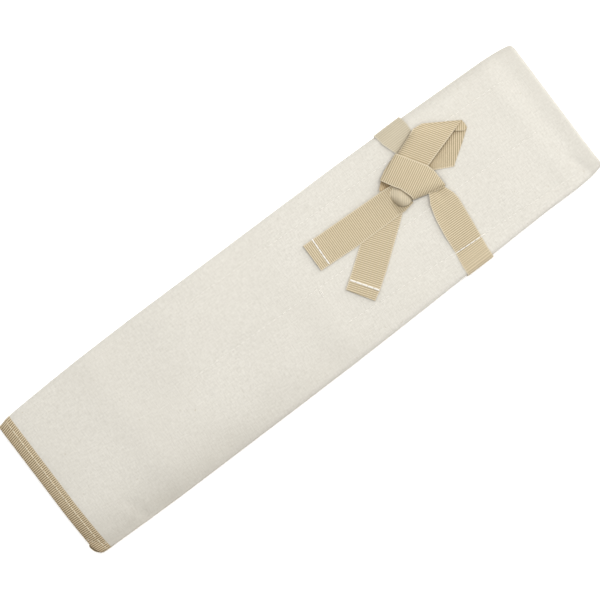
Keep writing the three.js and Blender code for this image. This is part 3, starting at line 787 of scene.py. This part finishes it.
def stitch_parts(ends, width=0.72, height=0.42, sink=0.26, tip=0.34):
    """Closed threads: each from a to b, (n, 2, 3) in millimetres, with the way out of the cloth as (n, 3)."""
    parts = []
    size = np.array([tip, 0.8, 1.0, 1.0, 1.0, 0.8, tip])
    along = np.array([0.0, 0.07, 0.2, 0.5, 0.8, 0.93, 1.0])
    drop = np.array([1.0, 0.35, 0.04, 0.0, 0.04, 0.35, 1.0]) * sink
    ring = np.radians(np.arange(0, 360, 45))
    for (a, b), up in ends:
        a, b, up = np.asarray(a, float), np.asarray(b, float), np.asarray(up, float)
        d = b - a
        length = np.linalg.norm(d)
        d = d / length
        side = np.cross(up, d)
        side /= np.linalg.norm(side)
        rise_dir = np.cross(d, side)
        centre = a + (b - a) * along[:, None] - up * drop[:, None]
        v = (centre[:, None, :] + side * (np.cos(ring) * width / 2)[None, :, None] * size[:, None, None]
             + rise_dir * (np.sin(ring) * height / 2)[None, :, None] * size[:, None, None])
        n, m = v.shape[:2]
        i = np.arange(n - 1)[:, None] * m + np.arange(m)[None, :]
        j = np.arange(n - 1)[:, None] * m + (np.arange(m) + 1)[None, :] % m
        faces = [tuple(f) for f in np.stack([i, j, j + m, i + m], -1).reshape(-1, 4)]
        caps = [(0, k + 1, k) for k in range(1, m - 1)] + [(m * (n - 1), m * (n - 1) + k, m * (n - 1) + k + 1) for k in range(1, m - 1)]
        uv = np.stack([np.broadcast_to(np.arange(m) / m, (n, m)),
                       np.broadcast_to((along * length * MM)[:, None], (n, m))], -1).reshape(-1, 2)
        parts.append((v.reshape(-1, 3), faces + caps, uv))
    return parts


def threads(name, parts, look):
    verts, faces, uvs, base = [], [], [], 0
    for v, f, t in parts:
        verts.append(v)
        faces += [tuple(i + base for i in k) for k in f]
        uvs.append(t)
        base += len(v)
    return new_object(name, np.concatenate(verts), faces, np.concatenate(uvs), look, 60)


def dashes(points, pitch=5.2, gap=1.5):
    points = np.asarray(points, float)
    run = run_length(points)
    count = max(1, int(round(run[-1] / pitch)))
    step = run[-1] / count
    at = lambda s: np.stack([np.interp(s, run, points[:, k]) for k in range(points.shape[1])], -1)
    s = np.arange(count) * step
    return np.stack([at(s + gap / 2), at(s + step - gap / 2)], 1)


UPWARD = np.array([0, 0, 1.0])


def on_cover(row, extra=0.14, pitch=5.2, gap=1.5):
    """Stitches of a row on the face of the cover."""
    out = []
    for a, b in dashes(row, pitch, gap):
        ends = np.stack([a, b])
        z = top(ends[:, 0], ends[:, 1]) + extra
        out.append((np.c_[ends, z], UPWARD))
    return out


def inside_cover(row, pitch=5.2, gap=1.5):
    """The same row on the pocket side."""
    out = []
    for a, b in dashes(row, pitch, gap):
        ends = np.stack([a, b])
        z = lift(ends[:, 0], ends[:, 1], np.full(2, 15.45)) - 0.08
        out.append((np.c_[ends, z], -UPWARD))
    return out


stitch_pieces = []
for name, row, node in (("cover_row_1_thread", ROW_1, "cover_stitch_1"), ("cover_row_2_thread", ROW_2, "cover_stitch_2")):
    o = threads(name, stitch_parts(on_cover(row) + inside_cover([(max(row[0][0], -80), row[0][1]), row[1]]), 0.6, 0.34, 0.24), ROW_THREAD)
    stitch_pieces.append((o, "cover_panel", [node]))

# the third row stops at the tie tape and goes on over it as the anchor stitch
o = threads("cover_row_3_thread", stitch_parts(
    on_cover([ROW_3[0], ROW_3[1], (119.4, -46.85)]) + on_cover([(149.2, -49.05), ROW_3[2]])
    + inside_cover([(30, -40.5), ROW_3[1], ROW_3[2]]), 0.6, 0.34, 0.24), ROW_THREAD)
stitch_pieces.append((o, "cover_panel", ["cover_stitch_3"]))
bar = [((x0, y0), (x1, y1)) for x0, y0, x1, y1 in ((14.3, -4.2, 13.6, -8.0), (13.9, -7.4, 13.2, -11.6), (15.2, -5.6, 14.6, -10.0))]
o = threads("cover_bar_thread", stitch_parts(
    [(np.c_[np.array(b), top(np.array(b)[:, 0], np.array(b)[:, 1]) + 0.12], UPWARD) for b in bar], 0.7, 0.45), ROW_THREAD)
stitch_pieces.append((o, "cover_panel", ["cover_bar_stitch"]))

for name, y, node in (("base_row_1_thread", BASE_ROWS[0], "base_stitch_1"), ("base_row_2_thread", BASE_ROWS[1], "base_stitch_2")):
    rows = []
    for a, b in dashes([(-95.0, y), (236.0, y)]):
        ends = taper(np.c_[np.stack([a, b]), [0, 0]])
        rows.append((np.c_[ends[:, :2], lift(ends[:, 0], ends[:, 1], np.full(2, 2.1)) + 0.1], UPWARD))
        rows.append((np.c_[ends[:, :2], np.full(2, 0.24)], -UPWARD))
    o = threads(name, stitch_parts(rows, sink=0.2), ROW_THREAD)
    stitch_pieces.append((o, "base_panel", [node]))


def bound_stitches(path, share, run, offset, first=2.0):
    """Stitches through both leaves of the end binding, with their share of the fold's turn."""
    ends, shares = [], []
    total = run[-1]
    for a, b in dashes(np.c_[[first, total - 1.0]], 4.0, 0.45):
        for face in (1, -1):
            pts = []
            for s in (a[0], b[0]):
                y, z, ny, nz = (np.interp(s, run, path[:, k]) for k in range(4))
                d = 0.45 + np.interp(s, run, offset) - face * 1.14
                pts.append((-256.7 + 7.3 - 0.45, y + ny * d, z + nz * d))
            pts = laid(np.array(pts))
            m = (a[0] + b[0]) / 2
            up = np.array([0, -np.interp(m, run, path[:, 2]), -np.interp(m, run, path[:, 3])]) * face
            ends.append((pts, up / np.linalg.norm(up)))
            shares.append(np.interp(m, run, share))
    return ends, shares


keep = outer_path[:, 0] > -55.0
keep[len(base_y):] = True
path, share, run, at = fine_path(outer_path[keep], outer_share[keep], 1.0)
ends, shares = bound_stitches(path, share, run, at(0.52 * in_base[keep]))
parts = stitch_parts(ends, 0.66, 0.34, 0.2)
bound_thread = threads("bound_end_thread", parts, SHADED_BIND_THREAD)
weights(bound_thread)

keep = np.ones(len(lower_path), bool)
keep[-6:] = False
path, share, run, at = fine_path(lower_path[keep], lower_share[keep], 1.0)
ends, shares = bound_stitches(path, share, run, 0 * run, 0.5)
parts = stitch_parts(ends, 0.66, 0.34, 0.2)
flap_thread = threads("bound_end_thread_flap", parts, SHADED_BIND_THREAD)
weights(flap_thread)


def edge_row(x0, x1, y, z, up, shape):
    return [(shape(np.array([(a[0], y, z), (b[0], y, z)])), up) for a, b in dashes(np.c_[[x0, x1]], 4.6, 1.5)]


o = threads("base_side_thread", stitch_parts(edge_row(-254, 254, -68.4 + 7.05, 2.9, UPWARD, laid), 0.6, 0.36, 0.2), SHADED_BIND_THREAD)
stitch_pieces.append((o, "base_panel", ["base_side_stitch"]))
o = threads("flap_side_thread", stitch_parts(
    edge_row(-254, 237, -7.9 - 7.05, FLAP + 1.38, UPWARD, laid) + edge_row(-254, 237, -7.9 - 7.05, FLAP - 0.48, -UPWARD, laid), 0.6, 0.36, 0.2), SHADED_BIND_THREAD)
stitch_pieces.append((o, "tuck_flap", ["flap_side_stitch"]))
for o, body, nodes in stitch_pieces:
    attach(o, body)
    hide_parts(*nodes)

# -------------------------------------------------------------------- tie tape

TAPE = 0.55


def rib_wave(s):
    return 0.09 * (np.cos(2 * math.pi * s / RIB) - 1)


def patch(outline, rib_dir, height, columns=11, thick=TAPE, phase=0.0, ribs=1.0):
    """A piece of tape in plan: rows lie along the ribs and end on the outline.
    height(x, y, t, c) is the lift of its upper face over the cover, with t along the tape and c across it, 0 to 1."""
    a = np.array(rib_dir, float)
    a /= np.linalg.norm(a)
    b = np.array([-a[1], a[0]])
    poly = np.asarray(outline, float)
    pa, pb = poly @ a, poly @ b
    lo, hi = pb.min(), pb.max()
    steps = np.unique(np.r_[np.arange(lo, hi, RIB / 4), lo + 0.02, hi - 0.02, pb])
    steps = steps[(steps > lo + 0.01) & (steps < hi - 0.01)]
    rows, nxt_a, nxt_b = [], np.roll(pa, -1), np.roll(pb, -1)
    for s in steps:
        hit = [pa[i] + (nxt_a[i] - pa[i]) * (s - pb[i]) / (nxt_b[i] - pb[i])
               for i in range(len(pa)) if (pb[i] - s) * (nxt_b[i] - s) <= 0 and pb[i] != nxt_b[i]]
        rows.append((min(hit), max(hit)))
    rows = np.array(rows)
    c = np.linspace(0, 1, columns)
    along = rows[:, :1] + (rows[:, 1:] - rows[:, :1]) * c
    xy = along[..., None] * a + steps[:, None, None] * b
    t = (steps - lo) / (hi - lo)
    x, y = xy[..., 0], xy[..., 1]
    z = top(x, y) + height(x, y, np.broadcast_to(t[:, None], x.shape), np.broadcast_to(c, x.shape))
    p = np.stack([x, y, z], -1)
    q = p - np.array([0, 0, thick])
    p[..., 2] += ribs * rib_wave(steps + phase)[:, None]
    wide = np.max(rows[:, 1] - rows[:, 0])
    mid = (rows.min() + rows.max()) / 2
    uv = np.stack([np.broadcast_to(c, x.shape), np.broadcast_to((steps + phase)[:, None] * MM, x.shape)], -1)
    return p, q, uv


def ribbon(left, right, height, columns=11, thick=TAPE, phase=0.0, face=None):
    """Tape between two edges in plan, in steps of a quarter rib along its middle."""
    left, right = np.asarray(left, float), np.asarray(right, float)
    fine = 60
    share = np.linspace(0, 1, fine)
    both_runs = [run_length(e) / run_length(e)[-1] for e in (left, right)]
    l = np.stack([np.interp(share, both_runs[0], left[:, k]) for k in range(2)], -1)
    r = np.stack([np.interp(share, both_runs[1], right[:, k]) for k in range(2)], -1)
    run = run_length((l + r) / 2)
    s = np.arange(0, run[-1], RIB / 4)
    l = np.stack([np.interp(s, run, l[:, k]) for k in range(2)], -1)
    r = np.stack([np.interp(s, run, r[:, k]) for k in range(2)], -1)
    c = np.linspace(0, 1, columns)
    xy = l[:, None, :] + (r - l)[:, None, :] * c[None, :, None]
    x, y = xy[..., 0], xy[..., 1]
    t = np.broadcast_to((s / s[-1])[:, None], x.shape)
    z = top(x, y) + height(x, y, t, np.broadcast_to(c, x.shape))
    p = np.stack([x, y, z], -1)
    q = p - np.array([0, 0, thick])
    p[..., 2] += rib_wave(s + phase)[:, None]
    uv = np.stack([np.broadcast_to(c, x.shape), np.broadcast_to((s + phase)[:, None] * MM, x.shape)], -1)
    return p, q, uv


def bowl(c, amount):
    """Edges of a tape lie a little lower than its middle."""
    return -amount * (2 * c - 1) ** 4


def tape_piece(name, p, q, uv, nodes, body=None, look=TAPE_LOOK):
    o = grid_sheet(name, p, q, uv, look, 55)
    if body:
        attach(o, body)
    if nodes:
        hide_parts(*nodes)
    return o


# run under the base, round the upper fold and on to the knot
back_y = np.arange(-69.0, UP_Y, 2.0)
front = np.array([(61.0, 0.0), (57.0, 0.0), (52.0, 0.0), (47.0, 0.05), (42.0, 0.25), (38.0, 0.6), (34.0, 1.0)])
path = np.concatenate([
    np.stack([back_y, 0 * back_y], -1),
    np.stack([UP_Y + 9.15 * np.cos(turn_up), 9.15 + 9.15 * np.sin(turn_up)], -1),
    np.stack([front[1:, 0], 18.25 + front[1:, 1]], -1)])
normal = np.concatenate([
    np.tile([0.0, 1.0], (len(back_y), 1)), np.stack([-np.cos(turn_up), -np.sin(turn_up)], -1),
    np.tile([0.0, -1.0], (len(front) - 1, 1))])
share = np.r_[np.zeros(len(back_y)), np.linspace(0, 1, len(turn_up)), np.ones(len(front) - 1)]
left_x = np.r_[117.5 + 8.0 * (back_y + 69.3) / 130.3, 125.5 - 0.6 * smooth(-90, 20, np.degrees(turn_up)) + 1.2 * smooth(10, 90, np.degrees(turn_up)),
               np.interp(front[1:, 0], [34, 48, 61], [133.6, 130.6, 126.1])]
right_x = left_x + np.r_[np.full(len(back_y), 25.0), 25.0 + 1.2 * smooth(-60, 40, np.degrees(turn_up)),
                         np.interp(front[1:, 0], [34, 44, 55, 61], [15.0, 19.5, 23.6, 26.2])]
(steps, sh, s, at) = fine_path(np.c_[path, normal], share, RIB / 4, 138.0)
py, pz, ny, nz = steps.T
lx, rx, run = at(left_x), at(right_x), s
c = np.linspace(0, 1, 9)
xs = lx[:, None] + (rx - lx)[:, None] * c
wave = 0.5 * rib_wave(s)[:, None]
p = np.stack([xs, py[:, None] - ny[:, None] * wave + 0 * xs, pz[:, None] - nz[:, None] * wave + 0 * xs], -1)
q = np.stack([xs, py[:, None] + ny[:, None] * TAPE + 0 * xs, pz[:, None] + nz[:, None] * TAPE + 0 * xs], -1)
# only the plan taper of the panel edge applies across, so the tape keeps its own width
for g, stand_off in ((p, 1.2), (q, 0.15)):
    moved = taper(np.stack([np.full(xs.shape, 138.0), g[..., 1], g[..., 2]], -1))
    g[..., 1] = moved[..., 1] + stand_off * smooth(62, 68, moved[..., 1])
    g[..., 2] = lift(g[..., 0], g[..., 1], g[..., 2])
curl = 0.6 * smooth(0.35, 0.0, c) * (smooth(66, 54, py) * (pz > 15))[:, None]
p[..., 2] += curl
q[..., 2] += curl
p[..., 2] = np.where(pz[:, None] < 0.5, np.maximum(p[..., 2], 0.0), p[..., 2])
uv = np.stack([np.broadcast_to(c, xs.shape), np.broadcast_to(s[:, None] * MM, xs.shape)], -1)
tie_upper = tape_piece("tie_upper_run", p, q, uv, ["tie_back_run", "tie_wrap_upper", "tie_front_upper"],
                       look=FLAT_LOOK)
weights(tie_upper)

# lower arm on the cover, sewn down, then round the lower edge
arm_left = np.array([(134.5, 8.5), (132.0, 3.6), (127.6, -4.1), (124.2, -15.9), (121.9, -31.0), (120.6, -47.1), (118.4, -60.0)])
arm_right = np.array([(144.5, 8.0), (146.1, 0.6), (149.0, -6.9), (149.6, -13.0), (148.8, -20.5), (147.4, -33.0), (145.6, -47.2), (144.0, -60.0)])


def arm_height(x, y, t, c):
    near = smooth(-16, 4, y)
    fold = 1.35 * near * smooth(0.52, 0.30, c) + 0.4 * near * np.exp(-((c - 0.92) / 0.16) ** 2)
    fold += 0.7 * smooth(0.24, 0.0, c) * smooth(-45, -18, y)
    sewn = np.exp(-((y + 48.5) / 1.6) ** 2)
    return 0.72 + 0.35 * smooth(-46, -34, y) + 0.30 * near + fold - 0.12 * sewn + bowl(c, 0.12) + 0.25 * np.exp(-((y + 30) / 14) ** 2)


p, q, uv = ribbon(arm_left, arm_right, arm_height)
# carry on over the edge: the roll, then straight down past the base
drop = np.radians(np.linspace(90, 180, 15))[1:]
over_y = np.r_[np.linspace(-60.0, LO_Y, 5)[1:], LO_Y + 5.05 * np.cos(drop), np.full(10, LO_Y - 5.05)]
over_z = np.r_[np.full(4, 18.1), LO_Z + 5.05 * np.sin(drop), np.linspace(LO_Z, 0.6, 11)[1:]]
over_n = np.r_[np.tile([0.0, 1.0], (4, 1)), np.stack([np.cos(drop), np.sin(drop)], -1), np.tile([-1.0, 0.0], (10, 1))]
over_share = np.r_[np.zeros(4), np.linspace(0, 0.5, 15)[1:], np.full(10, 0.5)]
(steps, osh, s, at) = fine_path(np.c_[over_y, over_z, over_n], over_share, RIB / 4, 131.0)
steps, osh, s = steps[1:], osh[1:], s[1:]
yy, zz, n0, n1 = steps.T
c = np.linspace(0, 1, 11)
left_end, right_end = p[-1, 0, 0], p[-1, -1, 0]
lean = -0.9 * np.clip(s / 18, 0, 1)
xs = left_end + lean[:, None] + (right_end - left_end) * c
start_s = uv[-1, 0, 1] / MM
wave = 0.25 * rib_wave(s + start_s)
po = np.stack([xs, yy[:, None] + (n0 * wave)[:, None] + 0 * xs, zz[:, None] + (n1 * wave)[:, None] + 0 * xs], -1)
qo = np.stack([xs, (yy - n0 * TAPE)[:, None] + 0 * xs, (zz - n1 * TAPE)[:, None] + 0 * xs], -1)
for g, stand_off in ((po, 1.3), (qo, 0.2)):
    g[..., 1] = taper(np.stack([np.full(xs.shape, 131.0), g[..., 1], g[..., 2]], -1))[..., 1]
    g[..., 1] -= stand_off * smooth(-61, -66, g[..., 1])
    g[..., 2] = lift(g[..., 0], g[..., 1], g[..., 2])
# the run starts at the height at which the arm ends
step_down = (p[-1, :, 2] - po[0, :, 2])[None, :] * (1 - smooth(0, 5, s))[:, None]
po[..., 2] += step_down
qo[..., 2] += step_down
p = np.concatenate([p, po])
q = np.concatenate([q, qo])
uv = np.concatenate([uv, np.stack([np.broadcast_to(c, xs.shape), np.broadcast_to((s + start_s)[:, None] * MM, xs.shape)], -1)])
tie_lower = tape_piece("tie_lower_run", p, q, uv, ["tie_front_lower", "tie_wrap_lower"],
                       look=ARM_LOOK)
weights(tie_lower)

anchor = [(119.6, -47.6), (149.4, -49.2)]
rows = []
for a, b in dashes(anchor, 5.0, 0.2):
    e = np.stack([a, b])
    on_tape = (e[:, 0] > 120.6) & (e[:, 0] < 145.6)
    rows.append((np.c_[e, top(e[:, 0], e[:, 1]) + np.where(on_tape, 0.78, 0.16)], UPWARD))
anchor_thread = threads("tie_anchor_thread", stitch_parts(rows, 1.0, 0.5, 0.10, 0.62), WHITE_THREAD)
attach(anchor_thread, "cover_panel")
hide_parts("tie_anchor_stitch")

# short tail, under the long one
short_poly = [(31.6, -17.2), (45.1, -38.9), (53.2, -34.4), (67.5, -24.7), (97.0, -2.5), (112.0, 9.2), (116.0, 14.0),
              (104.0, 30.5), (96.0, 28.0), (63.7, 5.5), (45.5, -7.6)]
short_axis = np.array([-0.818, -0.576])


def short_height(x, y, t, c):
    out = -(x - 84) * 0.818 - (y - 4) * 0.576      # distance out of the knot
    hem = smooth(44, 46.5, out)
    return 0.90 + 0.30 * smooth(10, -18, out) + 0.30 * hem + 0.5 * smooth(30, 60, out) * 0.6 + bowl(c, 0.10)


p, q, uv = patch(short_poly, (0.576, -0.818), short_height)
tail_short = tape_piece("tail_short_tape", p, q, uv, ["tail_short"])
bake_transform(tail_short)

# long tail
long_poly = [(25.3, 32.1), (25.1, 7.2), (63.2, 4.9), (109.0, 4.5), (118.0, 6.0), (118.0, 27.0), (106.0, 28.7), (99.4, 29.0)]


def long_height(x, y, t, c):
    root = smooth(70, 108, x)
    hem = smooth(35.6, 33.0, x)
    over = smooth(30, 60, x) * 0.35 * smooth(30, 8, y)
    return 1.0 + 0.55 * root + over + 0.9 * smooth(0.72, 1.0, c) * smooth(36, 60, x) + 0.32 * hem + 0.35 * smooth(60, 26, x) + bowl(c, 0.12)


p, q, uv = patch(long_poly, (0.03, 1.0), long_height)
tail_long = tape_piece("tail_long_tape", p, q, uv, ["tail_long"], look=TAIL_CREASE_SHADE_LOOK)
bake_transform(tail_long)


def hem_rows(a, b, height, grow=1.2):
    out = []
    for s, e in dashes([a, b], 5.0, 0.12):
        ends = np.stack([s, e])
        h = height(ends[:, 0], ends[:, 1], 0.5 * np.ones(2), 0.5 * np.ones(2))
        out.append((np.c_[ends, top(ends[:, 0], ends[:, 1]) + h + 0.06], UPWARD))
    return out


hem_long = threads("tail_long_hem_thread", stitch_parts(hem_rows((34.4, 32.2), (33.4, 7.4), long_height), 1.30, 0.62, 0.12, 0.62), WHITE_THREAD)
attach(hem_long, "long_tail")
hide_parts("tail_long_hem_stitch")
hem_short = threads("tail_short_hem_thread", stitch_parts(hem_rows((39.0, -12.8), (53.0, -34.0), short_height), 1.55, 0.66, 0.12, 0.62), WHITE_THREAD)
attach(hem_short, "short_tail")
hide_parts("tail_short_hem_stitch")

# bow loop: the top layer from the knot, its turned edge, and the under layer on the cover
top_poly = [(127.0, 44.2), (131.5, 45.6), (154.0, 54.0), (162.2, 53.0), (189.7, 35.8), (145.3, 22.6), (139.0, 21.0)]
fold_a, fold_b = np.array([154.0, 54.0]), np.array([189.7, 35.8])
fold_dir = (fold_b - fold_a) / np.linalg.norm(fold_b - fold_a)
fold_in = np.array([fold_dir[1], -fold_dir[0]])


def loop_top_height(x, y, t, c):
    out = (x - 138) * 0.846 + (y - 34) * 0.5325
    d = np.maximum(0, (x - fold_a[0]) * fold_in[0] + (y - fold_a[1]) * fold_in[1])
    edge = np.sqrt(np.clip(1 - (1 - np.clip(d / 6.0, 0, 1)) ** 2, 0, 1))
    side = np.clip(((x - 127.0) * 0.341 - (y - 44.2) * 0.940) / 8.0, 0, 1)       # in from the edge by the knot
    side = np.sqrt(np.clip(1 - (1 - side) ** 2, 0, 1))
    body = 3.4 + 2.7 * (1 - smooth(14, 54, out)) + 0.35 * np.sin(np.clip(out / 44, 0, 1) * math.pi)
    body = 2.3 + (body - 2.3) * np.maximum(side, smooth(12, 30, out))
    return body - 2.7 * (1 - edge) * smooth(0, 10, out) + bowl(c, 0.1)


loop_parts = [patch(top_poly, (0.53, -0.85), loop_top_height, ribs=0.45)]

under_poly = [(158.0, 46.0), (166.0, 46.0), (184.0, 34.8), (189.0, 33.0), (189.8, 28.6), (187.0, 26.6), (179.0, 21.0), (172.0, 16.3),
              (166.6, 12.7), (162.0, 9.4), (148.6, 16.2), (140.0, 21.5), (138.0, 30.0)]


def loop_under_height(x, y, t, c):
    d = (x - 145.3) * 0.285 - (y - 22.6) * 0.959          # out from under the top layer's edge
    rise = smooth(15, 0, d) * smooth(190, 176, x)
    return 0.72 + 0.9 * rise + 0.5 * smooth(158, 142, x) * smooth(14, 4, d) + bowl(c, 0.05)


loop_parts.append(patch(under_poly, (0.604, 0.797), loop_under_height, columns=21, ribs=1.2))
turn_poly = [(189.7, 35.9), (190.0, 31.5), (189.4, 28.6), (186.2, 27.6), (179.4, 32.3), (183.0, 34.0)]


def loop_turn_height(x, y, t, c):
    return 1.15 + 0.22 * np.maximum(0, 190.2 - x)


loop_parts.append(patch(turn_poly, (0.604, 0.797), loop_turn_height, columns=9))
parts = [two_faced(*g) for g in loop_parts]
bow_loop = several("bow_loop_tape", parts, SHADED_LOOP_LOOK, 55)
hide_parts("bow_loop")
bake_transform(bow_loop)

# knot: the turn that wraps it, the lobe that stands out of it, and the fold behind the lobe
wrap_poly = [(130.2, 46.6), (145.3, 22.6), (146.8, 16.3), (147.3, 1.8), (144.5, 0.9), (119.3, 7.5), (119.1, 11.3),
             (116.0, 20.9), (112.2, 26.9), (107.4, 35.8), (107.3, 36.9), (114.4, 40.9)]


def wrap_height(x, y, t, c):
    b = -(x - 127) * 0.457 + (y - 23) * 0.886          # along the turn
    low = np.clip(((x - 119.3) * 0.208 + (y - 7.5) * 0.978) / 7.0, 0, 1)
    far = np.clip(((x - 107.3) * 0.390 - (y - 36.9) * 0.921) / 6.0, 0, 1)
    ends = np.sqrt(np.clip(1 - (1 - low) ** 2, 0, 1)) * np.sqrt(np.clip(1 - (1 - far) ** 2, 0, 1))
    crown = 1 - ((b + 3) / 34) ** 2
    return 3.6 + 3.7 * ends * crown + 0.55 * ends * np.sin(np.clip(c, 0, 1) * math.pi) + bowl(c, 0.12)


p, q, uv = patch(wrap_poly, (0.886, 0.457), wrap_height, columns=21, thick=0.7)
knot_wrap = tape_piece("knot_wrap_tape", p, q, uv, ["knot_wrap"], "cover_panel")

lobe_poly = [(106.4, 25.6), (109.0, 27.0), (113.0, 27.0), (118.5, 25.0), (123.0, 19.0), (123.5, 12.0), (119.2, 8.0), (113.4, 6.8),
             (108.8, 8.5), (106.4, 11.6), (105.2, 16.2), (105.2, 21.2)]


def lobe_height(x, y, t, c):
    """A pillow that runs out of the long tail at its upper side, and stands over it at its lower side."""
    dx, dy = (x - 113.6) / 9.0, (y - 17.0) / 10.6
    u = np.clip(np.hypot(dx, dy), 1e-6, 1)
    soft = smooth(-0.1, 0.85, (-0.62 * dx + 0.78 * dy) / u)
    return 1.45 + 4.0 * np.clip(1 - u ** (2.4 - 0.6 * soft), 0, 1) ** (0.55 + 0.75 * soft)


p, q, uv = patch(lobe_poly, (0.604, 0.797), lobe_height, columns=21)
q[..., 2] = np.minimum(q[..., 2], p[..., 2] - 0.5)
lobe = tape_piece("knot_lobe_tape", p, q, uv, ["knot_core"], "cover_panel", look=LIT_LOBE_LOOK)

behind_poly = [(107.6, 36.2), (116.0, 34.0), (116.0, 24.0), (111.0, 25.6), (105.6, 27.8), (101.4, 30.6)]


def behind_height(x, y, t, c):
    return 0.62 + 1.9 * smooth(110, 101, x)


p, q, uv = patch(behind_poly, (0.35, 0.94), behind_height, columns=9)
knot_behind = tape_piece("knot_inner_fold_tape", p, q, uv, [], "cover_panel", look=SHADED_FOLD_LOOK)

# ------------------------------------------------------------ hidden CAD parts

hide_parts("base_canvas", "upper_fold_canvas", "cover_canvas", "base_pocket_fold", "cover_pocket_fold")
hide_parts("lower_fold_canvas", "flap_canvas", "flap_end_hem")
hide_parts("base_pocket_layer", "upper_fold_pocket", "cover_pocket_deep")
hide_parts("cover_pocket_shallow")
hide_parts("base_top_binding", "upper_fold_binding", "cover_top_binding")
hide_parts("lower_fold_binding", "flap_top_binding")
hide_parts("base_side_binding")
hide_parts("flap_side_binding")
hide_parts("base_mouth_binding", "upper_fold_mouth_binding", "cover_mouth_binding_deep")
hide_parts("cover_mouth_binding_shallow")
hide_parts("base_top_stitch", "cover_top_stitch")
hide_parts("flap_top_stitch")

# ------------------------------------------------------- floor, light and camera

floor = bpy.data.objects.new("floor", bpy.data.meshes.new("floor"))
floor.data.from_pydata([(-6, -6, -0.0006), (6, -6, -0.0006), (6, 6, -0.0006), (-6, 6, -0.0006)], [], [(0, 1, 2, 3)])
bpy.context.scene.collection.objects.link(floor)
ground = Nodes("floor")
place = ground.add("ShaderNodeTexCoord").outputs["Object"]
tone = ground.span(ground.noise(place, 3.0, 2), 0.3, 0.7, 0.0, 1.0)
ground.link(ground.mix(tone, (0.93, 0.93, 0.93), (0.95, 0.95, 0.95)), ground.shader.inputs["Base Color"])
ground.shader.inputs["Roughness"].default_value = 0.9
ground.shader.inputs["Specular IOR Level"].default_value = 0.1
ground.shader.inputs["Emission Color"].default_value = (1, 1, 1, 1)
ground.shader.inputs["Emission Strength"].default_value = 0.52
floor.data.materials.append(ground.material)

scene = bpy.context.scene
world = bpy.data.worlds.new("studio")
world.use_nodes = True
world.node_tree.nodes["Background"].inputs["Color"].default_value = (1.0, 1.0, 1.0, 1)
world.node_tree.nodes["Background"].inputs["Strength"].default_value = 0.24
scene.world = world
scene.view_settings.view_transform = "Standard"
scene.view_settings.look = "None"


def area_light(name, place, target, size, power):
    data = bpy.data.lights.new(name, "AREA")
    data.shape = "DISK"
    data.size = size
    data.energy = power
    o = bpy.data.objects.new(name, data)
    o.location = place
    d = np.array(target, float) - np.array(place, float)
    d /= np.linalg.norm(d)
    up = np.array([0, 0, 1.0])
    side = np.cross(d, up)
    side /= np.linalg.norm(side)
    o.matrix_world = Matrix([(side[0], np.cross(side, d)[0], -d[0], place[0]), (side[1], np.cross(side, d)[1], -d[1], place[1]),
                             (side[2], np.cross(side, d)[2], -d[2], place[2]), (0, 0, 0, 1)])
    scene.collection.objects.link(o)
    return o


area_light("key", (1.05, 0.0, 1.50), (0.05, 0.0, 0.0), 0.55, 10.5)
area_light("overhead", (-0.02, 0.20, 1.30), (-0.02, 0.0, 0.0), 0.6, 9.45)
area_light("side", (3.0, 0.2, 0.95), (0.0, 0.0, 0.0), 1.6, 34.0)

camera = bpy.data.cameras.new("camera")
camera.sensor_width = 36
camera.lens = 18 * 2.4 / 0.24375
camera.clip_end = 40
eye = bpy.data.objects.new("camera", camera)
cos_a, sin_a = 0.79692, 0.60409
eye.matrix_world = Matrix([(cos_a, sin_a, 0, -0.00309), (-sin_a, cos_a, 0, -0.00136), (0, 0, 1, 2.4 + 0.014), (0, 0, 0, 1)])
scene.collection.objects.link(eye)
scene.camera = eye
